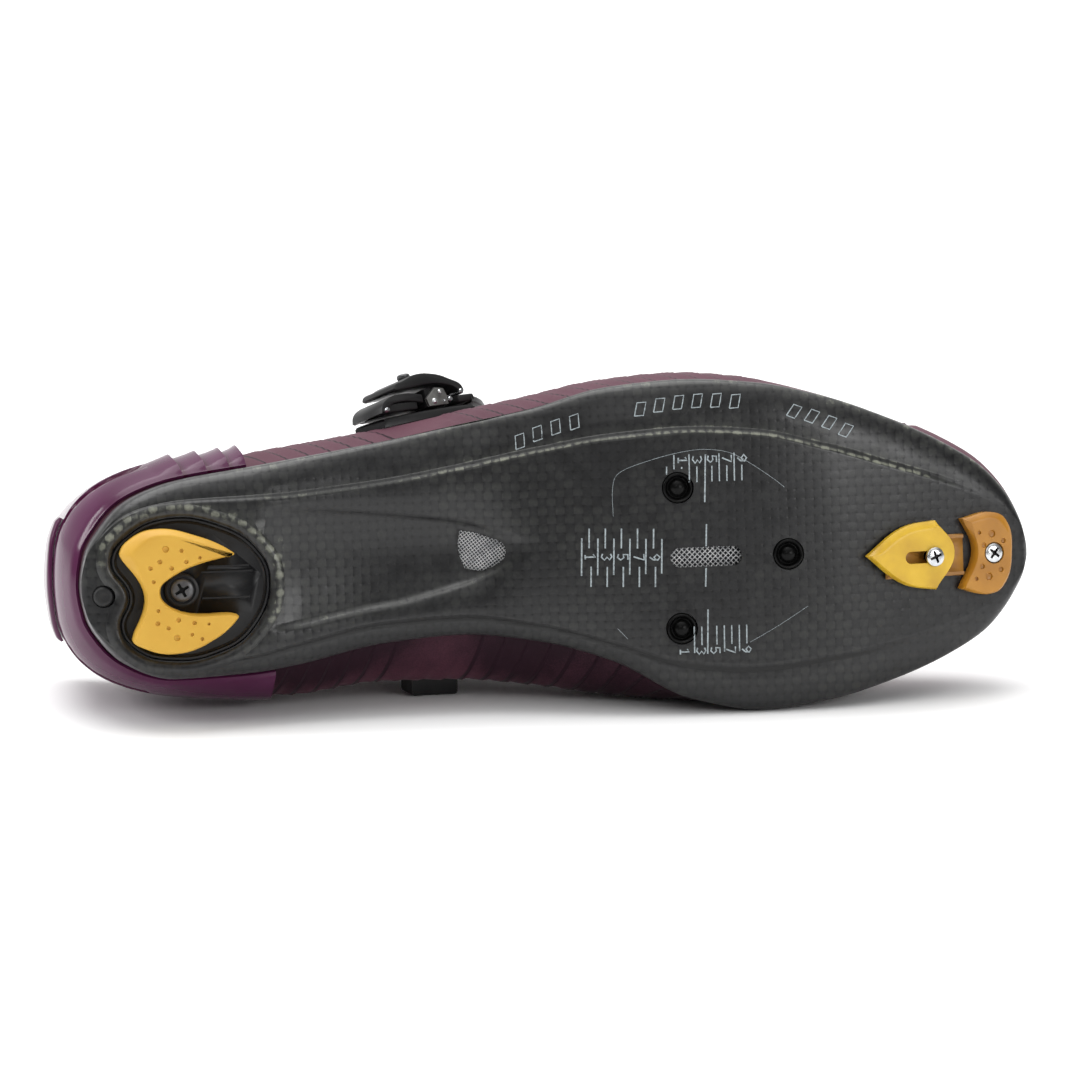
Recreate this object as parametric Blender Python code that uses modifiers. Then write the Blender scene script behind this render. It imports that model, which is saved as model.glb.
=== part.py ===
"""Right road cycling shoe with a vented carbon sole, lying on its inner side.

It is modelled upright: X runs from heel to toe, +Y is the inner (medial) side, +Z is up,
and Z = 0 is the flat under the ball of the foot. At the end an empty lays it on its side.
"""
import math
from collections import namedtuple

import bmesh
import bpy
from mathutils import Matrix, Vector

# Driving dimensions, in metres
LENGTH = 0.2815
BALL_WIDTH = 0.0975
INSTEP_HEIGHT = 0.103
SOLE_DEPTH = 0.020
PLATE = 0.005
RIM_WIDTH = 0.0050
EDGE_INSET = 0.0010
RIDGE_STEP = 0.0012
SCOOP_DEPTH = 0.0024
SCOOP_BANK = 0.0011
WALL = 0.0024
TOE_CAP_STEP = 0.0008
GAP = 0.0003
CLEAR = 0.012
THROUGH = 0.014

COUNTER_WALL = 0.0014
FIN_STEP = 0.0007
CLIP_WALL = 0.0015
CLIP_HALF_HEIGHT = 0.10
INSOLE_THICKNESS = 0.0040
INSOLE_MARGIN = 0.0015
INSOLE_FLAT = 0.6
TONGUE_THICKNESS = 0.0035
TONGUE_RISE = 0.026
TONGUE_HALF_WIDTH = 0.0185

TRAY_DEPTH = 0.0029
TRAY_FLOOR = 0.0012
TRAY_WALL = 0.0008
HEEL_PAD_PROUD = 0.0065
TOE_PAD_PROUD = 0.0042
BUTTON_RADIUS = 0.0030
BUTTON_CROWN = 0.0008
BUTTON_DEPTH = 0.0021
PLUG_RADIUS = 0.0044
PLUG_CROWN = 0.0005
PLUG_DEPTH = 0.0030
SCREW_RADIUS = 0.0015
SCREW_REACH = 0.0026
HEAD_HEIGHT = 0.0012
HEEL_HEAD_RADIUS = 0.0034
TOE_HEAD_RADIUS = 0.0029

BOLT_SPREAD = 0.0413
BOLT_REACH = 0.0322
SLOT_LENGTH = 0.0213
SLOT_WIDTH = 0.0058
SCREEN_LEDGE = 0.0010
SCREEN_THICKNESS = 0.0008

RAIL_WIDTH = 0.0122
RAIL_THICKNESS = 0.0009
SLIDER_THICKNESS = 0.0030
SLIDER_TRAVEL = 0.0075

STRAP_THICKNESS = 0.0020
INSTEP_STRAP_WIDTH = 0.020
FOREFOOT_STRAP_WIDTH = 0.022
BUCKLE_LENGTH = 0.036
BUCKLE_WIDTH = 0.018
BUCKLE_HEIGHT = 0.0137
BUCKLE_BASE = 0.0026
BUCKLE_BODY = (0.0068, 0.0056)
FRONT_BLOCK = (0.0066, 0.0023)
SIDE_PLATE = 0.0012
LEVER_INSET = 0.0006
LADDER_INSET = 0.0012
LEVER_BUTTON_RADIUS = 0.0020
LEVER_BUTTON_HEIGHT = 0.0016
ANCHOR_LENGTH = 0.0140
ANCHOR_WIDTH = 0.0120
ANCHOR_HEIGHT = 0.0060

# Sole sections from heel to toe. along is a share of LENGTH, outer and inner are half widths
# in shares of BALL_WIDTH, the heights bottom, rim_outer and rim_inner are shares of
# SOLE_DEPTH, ridge and crease are shares of their half width, step and scoop of their depth
SoleRow = namedtuple(
    "SoleRow",
    "along outer inner bottom rim_outer rim_inner ridge crease step scoop_outer scoop_inner scoop cup",
)
SOLE_ROWS = (
    SoleRow(0.000, 0.000, 0.000, 0.620, 0.950, 0.950, 0.850, 0.870, 0.0, 0.60, 0.60, 0.0, 0),
    SoleRow(0.005, 0.097, 0.092, 0.550, 0.950, 0.950, 0.850, 0.870, 0.0, 0.60, 0.60, 0.0, 0),
    SoleRow(0.021, 0.177, 0.172, 0.465, 0.935, 0.935, 0.850, 0.870, 0.2, 0.60, 0.60, 0.0, 0),
    SoleRow(0.045, 0.248, 0.235, 0.415, 0.915, 0.920, 0.840, 0.870, 0.5, 0.65, 0.60, 0.0, 1),
    SoleRow(0.096, 0.307, 0.284, 0.400, 0.900, 0.925, 0.790, 0.860, 0.8, 0.75, 0.60, 0.0, 1),
    SoleRow(0.178, 0.343, 0.274, 0.405, 0.930, 1.010, 0.720, 0.790, 1.0, 0.85, 0.65, 0.0, 1),
    SoleRow(0.229, 0.364, 0.255, 0.490, 0.975, 1.100, 0.690, 0.715, 1.0, 0.83, 0.72, 0.8, 1),
    SoleRow(0.315, 0.401, 0.205, 0.630, 1.000, 1.125, 0.685, 0.660, 1.0, 0.68, 0.65, 0.9, 1),
    SoleRow(0.399, 0.446, 0.188, 0.640, 0.925, 1.075, 0.700, 0.667, 1.0, 0.49, 0.26, 1.0, 1),
    SoleRow(0.476, 0.488, 0.214, 0.430, 0.775, 0.900, 0.727, 0.737, 1.0, 0.26, -0.32, 0.0, 1),
    SoleRow(0.552, 0.545, 0.280, 0.160, 0.600, 0.650, 0.716, 0.780, 1.0, 0.25, -0.20, 0.0, 1),
    SoleRow(0.631, 0.562, 0.400, 0.000, 0.475, 0.500, 0.720, 0.718, 1.0, 0.25, -0.10, 0.0, 1),
    SoleRow(0.706, 0.546, 0.442, 0.000, 0.450, 0.450, 0.714, 0.690, 1.0, 0.25, -0.10, 0.0, 1),
    SoleRow(0.778, 0.499, 0.421, 0.050, 0.525, 0.525, 0.680, 0.673, 0.9, 0.25, -0.10, 0.0, 1),
    SoleRow(0.850, 0.423, 0.369, 0.260, 0.700, 0.700, 0.650, 0.678, 0.7, 0.25, -0.10, 0.0, 1),
    SoleRow(0.910, 0.341, 0.304, 0.492, 0.890, 0.890, 0.640, 0.676, 0.4, 0.25, -0.10, 0.0, 1),
    SoleRow(0.955, 0.256, 0.228, 0.666, 1.025, 1.025, 0.640, 0.680, 0.1, 0.25, -0.10, 0.0, 1),
    SoleRow(0.983, 0.159, 0.133, 0.774, 1.100, 1.100, 0.660, 0.700, 0.0, 0.25, -0.10, 0.0, 0),
    SoleRow(0.996, 0.072, 0.062, 0.850, 1.150, 1.150, 0.700, 0.700, 0.0, 0.25, -0.10, 0.0, 0),
    SoleRow(1.000, 0.000, 0.000, 0.950, 1.175, 1.175, 0.700, 0.700, 0.0, 0.25, -0.10, 0.0, 0),
)

# Upper sections, one for each sole section: the loop where the wall stands out most, and
# the loop of the collar, the throat or the closed centre line. full bends the wall between
# them, from 2 for straight to 1 for a quarter ellipse
UpperRow = namedtuple(
    "UpperRow", "waist_along waist_outer waist_inner waist_up top_along top_outer top_inner top_up full"
)
UPPER_ROWS = (
    UpperRow(-0.015, 0.000, 0.000, 0.388, -0.012, 0.000, 0.000, 0.903, 1.40),
    UpperRow(-0.012, 0.108, 0.104, 0.388, -0.008, 0.092, 0.092, 0.898, 1.40),
    UpperRow(-0.001, 0.196, 0.188, 0.379, 0.007, 0.169, 0.169, 0.883, 1.40),
    UpperRow(0.027, 0.280, 0.268, 0.359, 0.039, 0.226, 0.226, 0.835, 1.40),
    UpperRow(0.084, 0.342, 0.326, 0.340, 0.092, 0.267, 0.262, 0.765, 1.45),
    UpperRow(0.172, 0.370, 0.350, 0.330, 0.167, 0.293, 0.284, 0.728, 1.50),
    UpperRow(0.227, 0.390, 0.355, 0.340, 0.222, 0.297, 0.287, 0.750, 1.50),
    UpperRow(0.314, 0.426, 0.327, 0.350, 0.295, 0.256, 0.251, 0.850, 1.45),
    UpperRow(0.399, 0.472, 0.330, 0.340, 0.364, 0.164, 0.164, 0.990, 1.35),
    UpperRow(0.476, 0.513, 0.353, 0.311, 0.445, 0.087, 0.087, 0.930, 1.20),
    UpperRow(0.552, 0.557, 0.389, 0.272, 0.526, 0.067, 0.062, 0.820, 1.10),
    UpperRow(0.631, 0.574, 0.411, 0.233, 0.607, 0.051, 0.046, 0.718, 1.05),
    UpperRow(0.706, 0.554, 0.417, 0.209, 0.675, 0.000, 0.000, 0.650, 1.00),
    UpperRow(0.778, 0.502, 0.399, 0.214, 0.750, 0.000, 0.000, 0.587, 0.97),
    UpperRow(0.850, 0.427, 0.356, 0.233, 0.817, 0.000, 0.000, 0.534, 0.95),
    UpperRow(0.910, 0.351, 0.303, 0.257, 0.870, 0.000, 0.000, 0.490, 0.92),
    UpperRow(0.955, 0.269, 0.238, 0.277, 0.909, 0.000, 0.000, 0.456, 0.90),
    UpperRow(0.984, 0.170, 0.147, 0.291, 0.938, 0.000, 0.000, 0.427, 0.90),
    UpperRow(0.998, 0.082, 0.072, 0.301, 0.956, 0.000, 0.000, 0.403, 0.90),
    UpperRow(1.002, 0.000, 0.000, 0.306, 0.968, 0.000, 0.000, 0.383, 0.90),
)
LAST_ROW = len(SOLE_ROWS) - 1
THROAT_FRONT = 12
WAIST = 0.30
CAP_EDGE = 14.55
CAP_EDGE_WIDTH = 0.07
LEVELS = (0.0, 0.10, 0.20, 0.30, 0.40, 0.49, 0.58, 0.67, 0.76, 0.84, 0.92, 1.0)

# The strip between the sole's raised middle and its edge, from the rim inwards: out is a share
# of the strip's width, rise a share of its height, step is 1 where it lies below the middle
FlangeRow = namedtuple("FlangeRow", "out rise step")
FLANGE_ROWS = (
    FlangeRow(1.00, 1.000, 0),
    FlangeRow(1.00, 0.510, 1),
    FlangeRow(0.86, 0.255, 1),
    FlangeRow(0.50, 0.068, 1),
    FlangeRow(0.14, 0.000, 1),
    FlangeRow(0.00, 0.000, 0),
)

# Outlines seen from below, in metres from the heel edge and from the middle line, outer
# side positive. The third column is 1 at a corner
OutlineRow = namedtuple("OutlineRow", "along across corner")
TRAY_OUTLINE = (
    OutlineRow(0.0550, 0.0014, 0),
    OutlineRow(0.0505, 0.0110, 0),
    OutlineRow(0.0400, 0.0175, 0),
    OutlineRow(0.0260, 0.0199, 0),
    OutlineRow(0.0140, 0.0155, 0),
    OutlineRow(0.0085, 0.0078, 0),
    OutlineRow(0.0135, -0.0026, 0),
    OutlineRow(0.0108, -0.0120, 0),
    OutlineRow(0.0157, -0.0189, 0),
    OutlineRow(0.0260, -0.0219, 0),
    OutlineRow(0.0380, -0.0205, 0),
    OutlineRow(0.0490, -0.0142, 0),
)
HEEL_PAD_OUTLINE = (
    OutlineRow(0.0111, 0.0098, 1),
    OutlineRow(0.0145, 0.0144, 0),
    OutlineRow(0.0215, 0.0168, 0),
    OutlineRow(0.0340, 0.0143, 0),
    OutlineRow(0.0440, 0.0091, 1),
    OutlineRow(0.0262, 0.0030, 0),
    OutlineRow(0.0223, -0.0013, 0),
    OutlineRow(0.0262, -0.0064, 0),
    OutlineRow(0.0450, -0.0090, 1),
    OutlineRow(0.0380, -0.0157, 0),
    OutlineRow(0.0265, -0.0196, 0),
    OutlineRow(0.0165, -0.0174, 0),
    OutlineRow(0.0141, -0.0148, 1),
    OutlineRow(0.0180, -0.0026, 0),
)
ARCH_VENT_OUTLINE = (
    OutlineRow(0.1113, 0.0126, 1),
    OutlineRow(0.1180, 0.0110, 0),
    OutlineRow(0.1248, 0.0064, 0),
    OutlineRow(0.1185, 0.0008, 0),
    OutlineRow(0.1125, 0.0014, 1),
    OutlineRow(0.1108, 0.0068, 0),
)
# The toe pieces lie on the sloping toe, so theirs are measured along it from the slider's screw
SLIDER_OUTLINE = (
    OutlineRow(-0.0211, 0.0011, 1),
    OutlineRow(-0.0090, 0.0090, 0),
    OutlineRow(0.0012, 0.0106, 1),
    OutlineRow(0.0072, 0.0014, 0),
    OutlineRow(0.0008, -0.0098, 1),
    OutlineRow(-0.0090, -0.0078, 0),
)
TOE_PAD_OUTLINE = (
    OutlineRow(0.0104, 0.0106, 1),
    OutlineRow(0.0208, 0.0120, 0),
    OutlineRow(0.0246, 0.0097, 0),
    OutlineRow(0.0264, 0.0005, 0),
    OutlineRow(0.0232, -0.0099, 0),
    OutlineRow(0.0190, -0.0120, 0),
    OutlineRow(0.0094, -0.0100, 1),
    OutlineRow(0.0142, 0.0012, 0),
)
HEEL_SCREW_AT = (0.0291, -0.0014)
BUTTON_AT = (0.0063, -0.0024)
CLEAT_CENTRE = (0.1908, 0.0027)
SLOT_AT = (0.1825, 0.0028)
ARCH_VENT_ALONG = 0.1180
SLIDER_SCREW_ALONG = 0.2496
TOE_PAD_SCREW_AT = (0.0199, 0.0001)
SCREW_HOLE = SCREW_RADIUS + GAP
RAIL_SPAN = (-0.0140, 0.0112)

FINS = (4.24, 4.52, 4.78, 5.02)
COUNTER_ROWS = (0.03, 0.80)
COUNTER_FALL = 0.36
COUNTER_LEVELS = 7
CLIP_COLUMNS = (-1.7, 1.9)
CLIP_ROW = 0.42
CLIP_TAPER = 0.35
# Places of the tongue's free top: share of its rise, of its half width and of its thickness
TONGUE_TOP = (
    (0.00, 0.62, 1.00),
    (0.16, 0.70, 1.00),
    (0.34, 0.88, 1.00),
    (0.62, 1.00, 0.95),
    (0.86, 0.96, 0.85),
    (1.00, 0.78, 0.45),
)
TONGUE_LEAN = (-0.45, 0.0, 0.89)
TONGUE_BOW = 0.004
# The instep strap's middle, as (level, column, lift off the upper), on the inner side and on
# the outer side, where its end climbs onto the buckle's base
INSTEP_STRAP_PATH = (
    (
        (0.55, 7.82, 0),
        (0.58, 7.85, 0),
        (0.67, 7.95, 0),
        (0.76, 8.05, 0),
        (0.84, 8.20, 0),
        (0.92, 8.35, 0),
        (1.00, 8.50, 0),
    ),
    (
        (0.60, 8.34, 1),
        (0.67, 8.40, 1),
        (0.76, 8.42, 0),
        (0.84, 8.45, 0),
        (0.92, 8.48, 0),
        (1.00, 8.50, 0),
    ),
)
STRAP_CROWN = 0.0010
FOREFOOT_STRAP_COLUMN = 11.0

# The anchor and the buckle on the skin, as (column, row) of the middle and of a place it points to
ANCHOR_AT = ((-7.75, 0.45), (-7.25, 0.45))
BUCKLE_AT = ((7.70, 0.45), (7.05, 0.374))
# Buckle pieces seen from its side: run is a share of BUCKLE_LENGTH towards the heel from the
# buckle's middle, height a share of BUCKLE_HEIGHT above the skin
BuckleRow = namedtuple("BuckleRow", "run height")
LEVER_OUTLINE = (
    BuckleRow(-0.356, 0.453),
    BuckleRow(-0.306, 0.584),
    BuckleRow(-0.167, 0.715),
    BuckleRow(0.000, 0.745),
    BuckleRow(0.167, 0.715),
    BuckleRow(0.311, 0.700),
    BuckleRow(0.333, 0.752),
    BuckleRow(0.208, 0.912),
    BuckleRow(0.083, 1.000),
    BuckleRow(-0.083, 0.978),
    BuckleRow(-0.236, 0.847),
    BuckleRow(-0.383, 0.547),
)
LADDER_OUTLINE = (
    BuckleRow(0.500, 0.263),
    BuckleRow(0.478, 0.438),
    BuckleRow(0.403, 0.569),
    BuckleRow(0.292, 0.620),
    BuckleRow(0.153, 0.606),
    BuckleRow(0.050, 0.547),
    BuckleRow(0.050, 0.365),
    BuckleRow(0.167, 0.431),
    BuckleRow(0.292, 0.453),
    BuckleRow(0.389, 0.401),
    BuckleRow(0.439, 0.263),
)
SIDE_PLATE_OUTLINE = (
    BuckleRow(-0.189, 0.263),
    BuckleRow(0.011, 0.263),
    BuckleRow(0.028, 0.438),
    BuckleRow(-0.078, 0.657),
    BuckleRow(-0.167, 0.620),
    BuckleRow(-0.189, 0.467),
)
BODY_RUN = -0.080
FRONT_BLOCK_RUN = -0.365
LEVER_BUTTON_RUN = 0.028

TURN_STEPS = 20
OUTLINE_STEPS = 3
UP = Vector((0.0, 0.0, 1.0))

for old in list(bpy.data.objects):
    bpy.data.objects.remove(old, do_unlink=True)


def collection(name):
    """A collection linked to the scene."""
    made = bpy.data.collections.new(name)
    bpy.context.scene.collection.children.link(made)
    return made


SHOE = collection("cycling_shoe")
CUTTERS = collection("cutters")


def material(name, colour, roughness, metallic=0.0):
    """A plain Principled material."""
    made = bpy.data.materials.new(name)
    made.use_nodes = True
    shader = made.node_tree.nodes["Principled BSDF"]
    shader.inputs["Base Color"].default_value = (*colour, 1.0)
    shader.inputs["Roughness"].default_value = roughness
    shader.inputs["Metallic"].default_value = metallic
    return made


PLUM = material("plum_microfibre", (0.16, 0.06, 0.10), 0.75)
GLOSS = material("glossy_plum", (0.11, 0.02, 0.06), 0.12)
CARBON = material("woven_carbon", (0.035, 0.036, 0.036), 0.38)
BLACK = material("black_plastic", (0.012, 0.012, 0.013), 0.40)
RUBBER = material("black_rubber", (0.010, 0.010, 0.010), 0.65)
YELLOW = material("yellow_rubber", (0.78, 0.47, 0.08), 0.55)
OCHRE = material("ochre_plastic", (0.52, 0.31, 0.06), 0.45)
TAN = material("tan_plastic", (0.46, 0.28, 0.10), 0.50)
STEEL = material("bright_steel", (0.60, 0.60, 0.60), 0.25, 1.0)
SCREEN = material("grey_mesh", (0.30, 0.31, 0.30), 0.60)
FOAM = material("foam", (0.05, 0.05, 0.055), 0.90)


def read(rows, column, place):
    """The value of a table column at a place between rows, on a curve that never overshoots."""
    values = [getattr(row, column) for row in rows]
    steps = [b - a for a, b in zip(values, values[1:])]

    def slope(index):
        if index == 0:
            end = 1.5 * steps[0] - 0.5 * steps[1]
            return end if end * steps[0] > 0 else 0.0
        if index == len(steps):
            end = 1.5 * steps[-1] - 0.5 * steps[-2]
            return end if end * steps[-1] > 0 else 0.0
        before, after = steps[index - 1], steps[index]
        return 2 * before * after / (before + after) if before * after > 0 else 0.0

    low = min(int(place), len(steps) - 1)
    t = place - low
    hermite = (2 * t**3 - 3 * t**2 + 1, t**3 - 2 * t**2 + t, 3 * t**2 - 2 * t**3, t**3 - t**2)
    return (
        hermite[0] * values[low]
        + hermite[1] * slope(low)
        + hermite[2] * values[low + 1]
        + hermite[3] * slope(low + 1)
    )


def wrap(column):
    """Columns run round the shoe from -LAST_ROW (toe, inner side) through the heel to the toe."""
    if column > LAST_ROW:
        return column - 2 * LAST_ROW
    if column < -LAST_ROW:
        return column + 2 * LAST_ROW
    return column


def plan_point(rows, names, column):
    """A plan loop read at a column: names are its along, outer and inner table columns."""
    place = abs(column)
    along = read(rows, names[0], place) * LENGTH
    width = read(rows, names[1] if column >= 0 else names[2], place) * BALL_WIDTH
    return Vector((along, -width if column >= 0 else width, 0.0))


def sole_edge(column):
    """The sole's outline in plan."""
    return plan_point(SOLE_ROWS, ("along", "outer", "inner"), column)


def sole_rim(column):
    """Height of the sole's rim."""
    name = "rim_outer" if column >= 0 else "rim_inner"
    return read(SOLE_ROWS, name, abs(column)) * SOLE_DEPTH


def inset_edge(column, inset):
    """The sole's outline moved inwards by a distance."""
    ahead = sole_edge(wrap(column + 0.05)) - sole_edge(wrap(column - 0.05))
    outward = ahead.cross(UP).normalized()
    return sole_edge(column) - outward * inset


def skin(column, row):
    """A point of the upper's outer face. row runs from 0 at the sole to 1 at the top edge."""
    base = inset_edge(column, EDGE_INSET)
    base_up = sole_rim(column) + GAP
    place = abs(column)
    waist = plan_point(UPPER_ROWS, ("waist_along", "waist_outer", "waist_inner"), column)
    waist_up = read(UPPER_ROWS, "waist_up", place) * INSTEP_HEIGHT
    if row <= WAIST:
        share = row / WAIST
        flat = base.lerp(waist, math.sin(share * math.pi / 2))
        return flat + UP * (base_up + (waist_up - base_up) * share)
    top = plan_point(UPPER_ROWS, ("top_along", "top_outer", "top_inner"), column)
    top_up = read(UPPER_ROWS, "top_up", place) * INSTEP_HEIGHT
    full = read(UPPER_ROWS, "full", place)
    angle = min((row - WAIST) / (1 - WAIST), 1.0) * math.pi / 2
    flat = waist.lerp(top, 1 - max(math.cos(angle), 0.0) ** full)
    return flat + UP * (waist_up + (top_up - waist_up) * math.sin(angle) ** full)


def skin_slopes(column, row):
    """How the skin runs along columns and up rows."""
    low, high = max(row - 0.03, 0.0), min(row + 0.03, 1.0)
    ahead = skin(wrap(column + 0.06), row) - skin(wrap(column - 0.06), row)
    up = skin(column, high) - skin(column, low)
    return ahead / 0.12, up / (high - low)


def skin_out(column, row):
    """The skin's outward normal."""
    ahead, up = skin_slopes(column, row)
    out = ahead.cross(up)
    if row > 0.999 and abs(column) >= THROAT_FRONT:
        out.y = 0.0
    return out.normalized()


def on_skin(column, row, out):
    """A point at a distance outside the skin."""
    return skin(column, row) + skin_out(column, row) * out


def walk(column, row, move):
    """The column and row reached from a place on the skin by a move along it."""
    ahead, up = skin_slopes(column, row)
    a, b, c = ahead.dot(ahead), ahead.dot(up), up.dot(up)
    d, e = ahead.dot(move), up.dot(move)
    det = a * c - b * b
    return column + (c * d - b * e) / det, row + (a * e - b * d) / det


def finish(mesh, name, look, place, home=SHOE):
    """Put a mesh in the scene as a named piece."""
    mesh.name = name
    if look is not None:
        mesh.materials.clear()
        mesh.materials.append(look)
    piece = bpy.data.objects.new(name, mesh)
    home.objects.link(piece)
    piece.matrix_world = place
    return piece


def solid_from_faces(name, points, faces, look, place=Matrix()):
    """A closed solid from points and faces, welded and turned outwards."""
    mesh = bpy.data.meshes.new(name)
    mesh.from_pydata(points, [], faces)
    shape = bmesh.new()
    shape.from_mesh(mesh)
    bmesh.ops.remove_doubles(shape, verts=shape.verts, dist=2e-6)
    bmesh.ops.recalc_face_normals(shape, faces=shape.faces)
    shape.to_mesh(mesh)
    shape.free()
    mesh.shade_smooth()
    mesh.set_sharp_from_angle(angle=math.radians(40))
    return finish(mesh, name, look, place)


def loft(name, rings, look):
    """A solid through closed rings that have the same number of points."""
    count = len(rings[0])
    points = [point for ring in rings for point in ring]
    faces = []
    for ring in range(len(rings) - 1):
        for spot in range(count):
            turn = (spot + 1) % count
            here, there = ring * count, (ring + 1) * count
            faces.append((here + spot, here + turn, there + turn, there + spot))
    faces.append(tuple(range(count)))
    faces.append(tuple(range((len(rings) - 1) * count, len(rings) * count)))
    return solid_from_faces(name, points, faces, look)


def skin_band(name, stations, look):
    """A solid between two faces. Each station is a row of (outer point, inner point) pairs."""
    rings = []
    for station in stations:
        outer = [pair[0] for pair in station]
        inner = [pair[1] for pair in station]
        rings.append(outer + inner[::-1])
    return loft(name, rings, look)


def outline_mesh(name, rows, low, high):
    """A flat outline between two heights, from a filled 2D curve."""
    curve = bpy.data.curves.new(name, "CURVE")
    curve.dimensions = "2D"
    curve.fill_mode = "BOTH"
    curve.resolution_u = OUTLINE_STEPS
    curve.extrude = (high - low) / 2
    spline = curve.splines.new("BEZIER")
    spline.bezier_points.add(len(rows) - 1)
    spline.use_cyclic_u = True
    for knot, row in zip(spline.bezier_points, rows):
        knot.co = (row.along, row.across, 0.0)
        kind = "VECTOR" if row.corner else "AUTO"
        knot.handle_left_type = kind
        knot.handle_right_type = kind
    return curve_to_mesh(name, curve, Matrix.Translation((0.0, 0.0, (low + high) / 2)))


def curve_to_mesh(name, curve, place):
    """A welded mesh of a curve."""
    guide = bpy.data.objects.new(name + "_curve", curve)
    SHOE.objects.link(guide)
    bpy.context.view_layer.update()
    seen = guide.evaluated_get(bpy.context.evaluated_depsgraph_get())
    mesh = bpy.data.meshes.new_from_object(seen)
    bpy.data.objects.remove(guide, do_unlink=True)
    shape = bmesh.new()
    shape.from_mesh(mesh)
    bmesh.ops.remove_doubles(shape, verts=shape.verts, dist=1e-6)
    bmesh.ops.recalc_face_normals(shape, faces=shape.faces)
    bmesh.ops.transform(shape, matrix=place, verts=shape.verts)
    shape.to_mesh(mesh)
    shape.free()
    return mesh


def grown(rows, distance):
    """An outline moved outwards by a distance, or inwards if it is negative."""
    moved = []
    pairs = zip(rows, rows[1:] + rows[:1])
    if sum(a.along * b.across - b.along * a.across for a, b in pairs) > 0:
        distance = -distance
    for index, row in enumerate(rows):
        before, after = rows[index - 1], rows[(index + 1) % len(rows)]
        run = Vector((after.along - before.along, after.across - before.across)).normalized()
        moved.append(OutlineRow(row.along - run.y * distance, row.across + run.x * distance, row.corner))
    return tuple(moved)


def stadium(length, width, at):
    """The outline of a slot with round ends."""
    reach = (length - width) / 2
    rows = []
    for end, start in ((1, -90), (-1, 90)):
        for step in range(5):
            angle = math.radians(start + step * 45)
            along = at[0] + end * reach + math.cos(angle) * width / 2
            rows.append(OutlineRow(along, at[1] + math.sin(angle) * width / 2, 0))
    return tuple(rows)


def poly_mesh(name, rows, low, high):
    """A straight-sided outline between two heights."""
    curve = bpy.data.curves.new(name, "CURVE")
    curve.dimensions = "2D"
    curve.fill_mode = "BOTH"
    curve.extrude = (high - low) / 2
    spline = curve.splines.new("POLY")
    spline.points.add(len(rows) - 1)
    spline.use_cyclic_u = True
    for knot, row in zip(spline.points, rows):
        knot.co = (row[0], row[1], 0.0, 1.0)
    return curve_to_mesh(name, curve, Matrix.Translation((0.0, 0.0, (low + high) / 2)))


def turned(name, profile, place, look, home=SHOE):
    """A round piece: its profile of (radius, height) runs from the top down its outer side."""
    mesh = bpy.data.meshes.new(name)
    edges = [(spot, spot + 1) for spot in range(len(profile) - 1)]
    mesh.from_pydata([(radius, 0.0, height) for radius, height in profile], edges, [])
    piece = finish(mesh, name, look, place, home)
    turn = piece.modifiers.new("turn", "SCREW")
    turn.axis = "Z"
    turn.steps = TURN_STEPS
    turn.render_steps = TURN_STEPS
    turn.use_merge_vertices = True
    turn.merge_threshold = 0.00001
    return piece


def rod(name, radius, low, high, place, look, home=SHOE):
    """A plain round rod along its own Z."""
    return turned(name, ((0.0, high), (radius, high), (radius, low), (0.0, low)), place, look, home)


def cut(piece, cutter):
    """Take a cutter's shape out of a piece."""
    for old in cutter.users_collection:
        old.objects.unlink(cutter)
    CUTTERS.objects.link(cutter)
    cutter.hide_render = True
    cutter.display_type = "WIRE"
    difference = piece.modifiers.new("cut_" + cutter.name, "BOOLEAN")
    difference.operation = "DIFFERENCE"
    difference.solver = "EXACT"
    difference.object = cutter


def soften(piece, width, angle=50.0, segments=1):
    """Break the sharp edges of a piece."""
    bevel = piece.modifiers.new("soft_edges", "BEVEL")
    bevel.width = width
    bevel.segments = segments
    bevel.limit_method = "ANGLE"
    bevel.angle_limit = math.radians(angle)


def spread(first, last, step):
    """Evenly spaced numbers from first to last, about a step apart."""
    count = max(1, round(abs(last - first) / step))
    return [first + (last - first) * spot / count for spot in range(count + 1)]


def facing_down(height, slope=0.0, along=0.0):
    """A frame on the underside: X along the shoe, Y to the outer side, Z out of the sole."""
    tip = Matrix.Rotation(-slope, 4, "Y")
    return Matrix.Translation((along, 0.0, height)) @ tip @ Matrix.Rotation(math.pi, 4, "X")


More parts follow.
